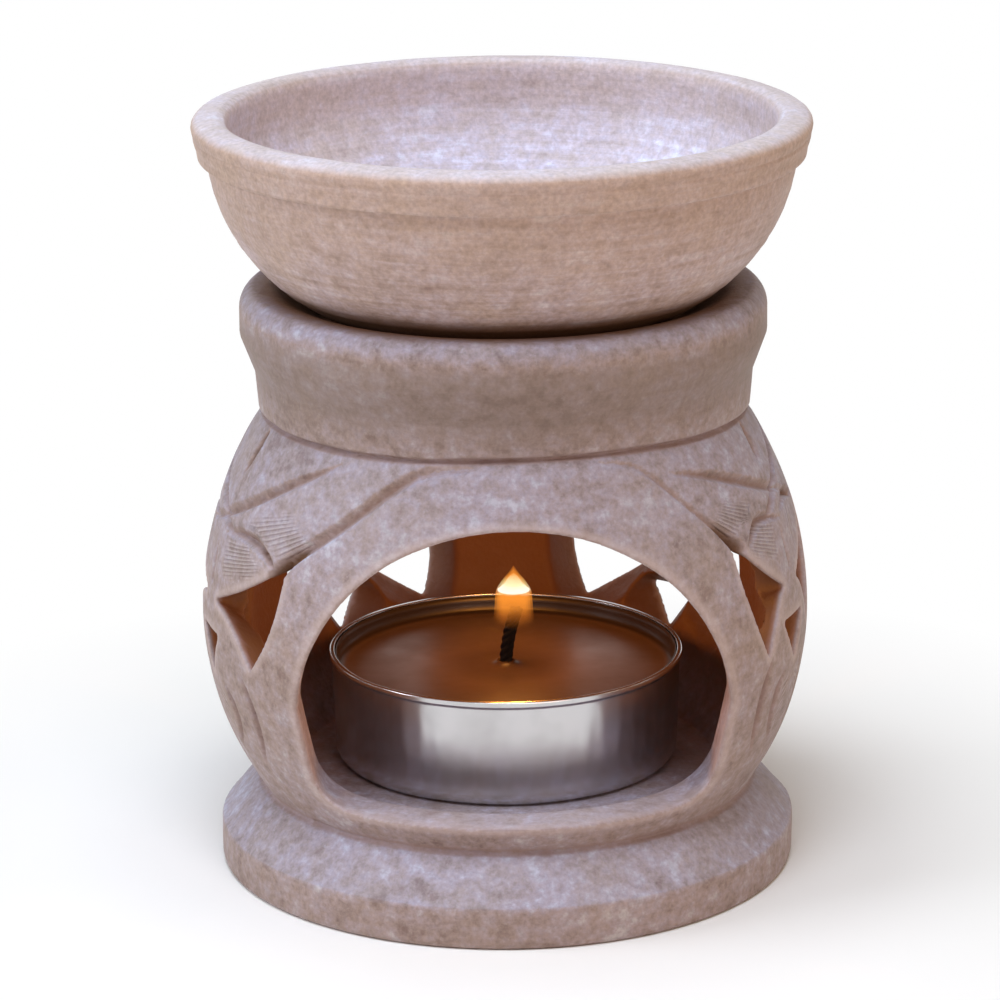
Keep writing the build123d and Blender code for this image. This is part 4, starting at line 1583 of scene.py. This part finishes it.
    @staticmethod
    def flame_outline(foot: float, tip: float, wide: float, shares: Sequence[Point]) -> list[Point]:
        """Gives the outline of one veil of the flame.

        Args:
            foot: lowest height.
            tip: highest height.
            wide: largest radius.
            shares: shares of the height and of the radius.

        Returns:
            The outline from the foot to the tip.
        """
        line = smooth_line(shares, 5)
        return [(max(0.0, b) * wide, foot + a * (tip - foot)) for a, b in line]

    def build_flame(self) -> list[bpy.types.Object]:
        """Shapes the flame's two layers and the light that it gives.

        Returns:
            The layers.
        """
        white, cream, yellow = (1.0, 0.96, 0.86), (1.0, 0.80, 0.50), (1.0, 0.70, 0.25)
        amber, ember = (1.0, 0.31, 0.035), (0.75, 0.2, 0.025)
        wedge = ((0.0, 0.0), (0.02, 0.95), (0.12, 0.9), (0.4, 0.58), (0.7, 0.36), (0.9, 0.16), (1.0, 0.0))
        drop = (
            (0.0, 0.0), (0.02, 0.7), (0.1, 1.0), (0.3, 0.97), (0.5, 0.93), (0.6, 0.87), (0.74, 0.6),
            (0.88, 0.25), (1.0, 0.0),
        )
        core_cover = ((0.0, 0.5), (0.6, 0.45), (1.0, 0.2))
        glow_cover = (
            (0.0, 0.0), (0.12, 0.02), (0.25, 0.1), (0.4, 0.22), (0.55, 0.3), (0.8, 0.24), (1.0, 0.1),
        )
        glow_stops = (
            (0.0, ember), (0.22, ember), (0.36, amber), (0.56, amber), (0.62, cream), (0.72, yellow),
            (0.82, amber), (1.0, ember),
        )
        layers = (
            (
                FlamePart.CORE, 28.75, 30.7, 1.72, ((0.0, white), (0.7, cream), (1.0, yellow)), 1.6,
                core_cover, wedge,
            ),
            (FlamePart.GLOW, 24.6, self.tip_z, 2.15, glow_stops, 1.1, glow_cover, drop),
        )
        pieces = []
        for part, foot, tip, wide, stops, strength, cover, shares in layers:
            material = FlameFinish(part, foot, tip, stops, strength, cover).material()
            centre = (0.9 * MM, self.setback * MM, 0.0)
            outline: list[Point] = []
            for i in range(self.veils):
                veil = self.flame_outline(foot + 0.1 * i, tip - 0.15 * i, wide * (1.0 - 0.12 * i), shares)
                outline += veil if i % 2 == 0 else veil[::-1]
            mesh = self.lathe.turn(outline, material, {"Segments": 40, "Centre": centre})
            pieces.append(finished(f"flame_{part.value}", mesh, material, Body.TEALIGHT, None))
            pieces[-1].visible_shadow = False
        light = bpy.data.lights.new("flame_light", "POINT")
        light.energy = 0.017
        light.color = (1.0, 0.35, 0.05)
        light.shadow_soft_size = 2.2 * MM
        lamp = bpy.data.objects.new("flame_light", light)
        lamp.location = (0.9 * MM, self.setback * MM, 34.5 * MM)
        bpy.context.scene.collection.objects.link(lamp)
        lamp.parent = pieces[0]
        return pieces

    def build(self) -> list[bpy.types.Object]:
        """Builds every piece of the tealight.

        Returns:
            The pieces.
        """
        pieces = [self.build_cup(), self.build_wax(), self.build_foot(), self.build_wick()]
        return pieces + self.build_flame()


def plait_tree() -> bpy.types.NodeTree:
    """Builds the geometry nodes that wind strands about a path.

    Returns:
        The tree.
    """
    tree = bpy.data.node_groups.new("plaited_wick", "GeometryNodeTree")
    for name, kind in (
        ("Path", "Geometry"),
        ("Strands", "Int"),
        ("Points", "Int"),
        ("Turns", "Float"),
        ("Spread", "Float"),
        ("Strand", "Float"),
        ("Finish", "Material"),
    ):
        tree.interface.new_socket(name, in_out="INPUT", socket_type=f"NodeSocket{kind}")
    tree.interface.new_socket("Piece", in_out="OUTPUT", socket_type="NodeSocketGeometry")
    sheet = NodeSheet(tree)
    given = sheet.add("NodeGroupInput").outputs
    path = sheet.add("GeometryNodeMeshToCurve", {0: given["Path"]}).outputs[0]
    path = sheet.add("GeometryNodeResampleCurve", {"Curve": path, "Count": given["Points"]}).outputs[0]
    copies = sheet.add(
        "GeometryNodeDuplicateElements", {"Geometry": path, "Amount": given["Strands"]}, domain="SPLINE",
    )
    along = sheet.add("GeometryNodeSplineParameter").outputs["Factor"]
    start = sheet.math("DIVIDE", copies.outputs["Duplicate Index"], given["Strands"])
    turn = sheet.math(
        "MULTIPLY", sheet.math("ADD", sheet.math("MULTIPLY", along, given["Turns"]), start), 2.0 * math.pi,
    )
    aside = sheet.add(
        "ShaderNodeCombineXYZ",
        {
            0: sheet.math("MULTIPLY", sheet.math("COSINE", turn), given["Spread"]),
            1: sheet.math("MULTIPLY", sheet.math("SINE", turn), given["Spread"]),
        },
    ).outputs[0]
    strands = sheet.add(
        "GeometryNodeSetPosition", {"Geometry": copies.outputs[0], "Offset": aside},
    ).outputs[0]
    ring = sheet.add(
        "GeometryNodeCurvePrimitiveCircle", {"Resolution": 10, "Radius": given["Strand"]},
    ).outputs[0]
    shape = sheet.add(
        "GeometryNodeCurveToMesh", {"Curve": strands, "Profile Curve": ring, "Fill Caps": True},
    ).outputs[0]
    shape = sheet.add("GeometryNodeRealizeInstances", {0: shape}).outputs[0]
    shape = sheet.add(
        "GeometryNodeSetMaterial", {"Geometry": shape, "Material": given["Finish"]},
    ).outputs[0]
    sheet.add("NodeGroupOutput", {0: shape})
    return tree


@dataclass(frozen=True)
class SoftLamp:
    """One soft studio lamp."""

    name: str
    place: tuple[float, float, float]
    aim: tuple[float, float, float]
    size: float
    power: float
    colour: Colour

    def build(self) -> None:
        """Hangs the lamp and aims it."""
        light = bpy.data.lights.new(self.name, "AREA")
        light.shape = "DISK"
        light.size = self.size
        light.energy = self.power
        light.color = self.colour
        lamp = bpy.data.objects.new(self.name, light)
        lamp.location = self.place
        way = Vector(self.aim) - Vector(self.place)
        lamp.rotation_euler = way.to_track_quat("-Z", "Y").to_euler()
        bpy.context.scene.collection.objects.link(lamp)


@dataclass
class Studio:
    """Pale floor, white surroundings, soft lamps and the camera."""

    floor_r: float = 1.6
    floor_tint: Colour = (0.985, 0.965, 0.945)
    camera_place: tuple[float, float, float] = (-0.0005, -0.45255, 0.17317)
    camera_pitch: float = 73.538
    camera_roll: float = -0.45
    lens: float = 157.64
    lamps: tuple[SoftLamp, ...] = (
        SoftLamp("top_lamp", (-0.03, -0.05, 0.80), (0.0, 0.0, 0.05), 0.36, 3.0, (0.72, 0.80, 0.86)),
        SoftLamp("high_front_lamp", (-0.03, -0.36, 0.72), (0.0, 0.0, 0.05), 0.40, 3.5, (0.66, 0.74, 0.84)),
        SoftLamp("left_lamp", (-0.66, -0.10, 0.36), (0.0, 0.0, 0.05), 0.5, 3.65, (0.76, 0.80, 0.87)),
        SoftLamp("right_lamp", (0.66, -0.10, 0.36), (0.0, 0.0, 0.05), 0.5, 0.75, (1.0, 0.76, 0.45)),
        SoftLamp("front_lamp", (0.26, -0.62, 0.26), (0.0, 0.0, 0.03), 0.4, 0.9, (1.0, 0.64, 0.46)),
    )

    def build_floor(self) -> None:
        """Lays the floor, shaded near the burner and white further out."""
        rings, spokes = 24, 64
        points, faces = [(0.0, 0.0, 0.0)], []
        for i in range(1, rings + 1):
            reach = self.floor_r * (i / rings) ** 2
            points += [
                (reach * math.cos(6.2831853 * k / spokes), reach * math.sin(6.2831853 * k / spokes), 0.0)
                for k in range(spokes)
            ]
        faces += [(0, 1 + k, 1 + (k + 1) % spokes) for k in range(spokes)]
        for i in range(rings - 1):
            a, b = 1 + i * spokes, 1 + (i + 1) * spokes
            faces += [(a + k, b + k, b + (k + 1) % spokes, a + (k + 1) % spokes) for k in range(spokes)]
        mesh = bpy.data.meshes.new("pale_floor")
        mesh.from_pydata(points, [], faces)
        material, sheet = new_material("pale_floor")
        place = sheet.millimetres()
        reach = sheet.vector("LENGTH", place)
        path = sheet.add("ShaderNodeLightPath").outputs
        seen = sheet.math("ADD", path["Is Camera Ray"], path["Is Glossy Ray"])
        seen = sheet.math("ADD", seen, path["Is Transmission Ray"], True)
        far = sheet.math("MULTIPLY", sheet.span(reach, 42.0, 95.0), seen)
        mottle = sheet.span(sheet.noise(place, 0.02), 0.3, 0.7, 0.9, 0.92)
        tint = sheet.mix(
            1.0, self.floor_tint,
            sheet.add("ShaderNodeCombineColor", {0: mottle, 1: mottle, 2: mottle}).outputs[0], "MULTIPLY",
        )
        matt = sheet.add("ShaderNodeBsdfDiffuse", {"Color": tint}).outputs[0]
        white = sheet.add("ShaderNodeEmission", {"Color": (1.0, 1.0, 1.0, 1.0), "Strength": 1.0}).outputs[0]
        sheet.surface(sheet.add("ShaderNodeMixShader", {0: far, 1: matt, 2: white}).outputs[0])
        mesh.materials.append(material)
        shown("pale_floor", mesh)

    def build_surroundings(self) -> None:
        """Gives the room a soft light, and white where it is seen."""
        world = bpy.data.worlds.new("soft_room")
        world.use_nodes = True
        bpy.context.scene.world = world
        sheet = NodeSheet(world.node_tree)
        path = sheet.add("ShaderNodeLightPath").outputs
        seen = sheet.math("ADD", path["Is Camera Ray"], path["Is Glossy Ray"])
        seen = sheet.math("ADD", seen, path["Is Transmission Ray"], True)
        soft = sheet.add(
            "ShaderNodeBackground", {"Color": (1.0, 0.84, 0.72, 1.0), "Strength": 0.13},
        ).outputs[0]
        white = sheet.add(
            "ShaderNodeBackground", {"Color": (1.0, 1.0, 1.0, 1.0), "Strength": 1.0},
        ).outputs[0]
        shader = sheet.add("ShaderNodeMixShader", {0: seen, 1: soft, 2: white}).outputs[0]
        sheet.add("ShaderNodeOutputWorld", {"Surface": shader})

    def build_camera(self) -> None:
        """Sets up the camera at the photograph's angle."""
        data = bpy.data.cameras.new("front_camera")
        data.lens = self.lens
        data.sensor_width = 36.0
        data.clip_start = 0.01
        camera = bpy.data.objects.new("front_camera", data)
        camera.location = self.camera_place
        tilt = Euler((math.radians(self.camera_pitch), 0.0, 0.0)).to_matrix()
        roll = Euler((0.0, 0.0, math.radians(self.camera_roll))).to_matrix()
        camera.rotation_euler = (tilt @ roll).to_euler()
        bpy.context.scene.collection.objects.link(camera)
        bpy.context.scene.camera = camera

    def build(self) -> None:
        """Builds the whole studio."""
        bpy.context.scene.view_settings.view_transform = "Standard"
        self.build_camera()
        self.build_floor()
        self.build_surroundings()
        for lamp in self.lamps:
            lamp.build()


def main() -> None:
    """Builds the burner and the studio around it."""
    logging.basicConfig(level=logging.INFO, format="%(name)s %(message)s")
    Studio().build()
    lathe = LatheTree()
    CarvedStand().build()
    OilBowl(lathe).build()
    Tealight(lathe).build()


if __name__ == "__main__":
    main()
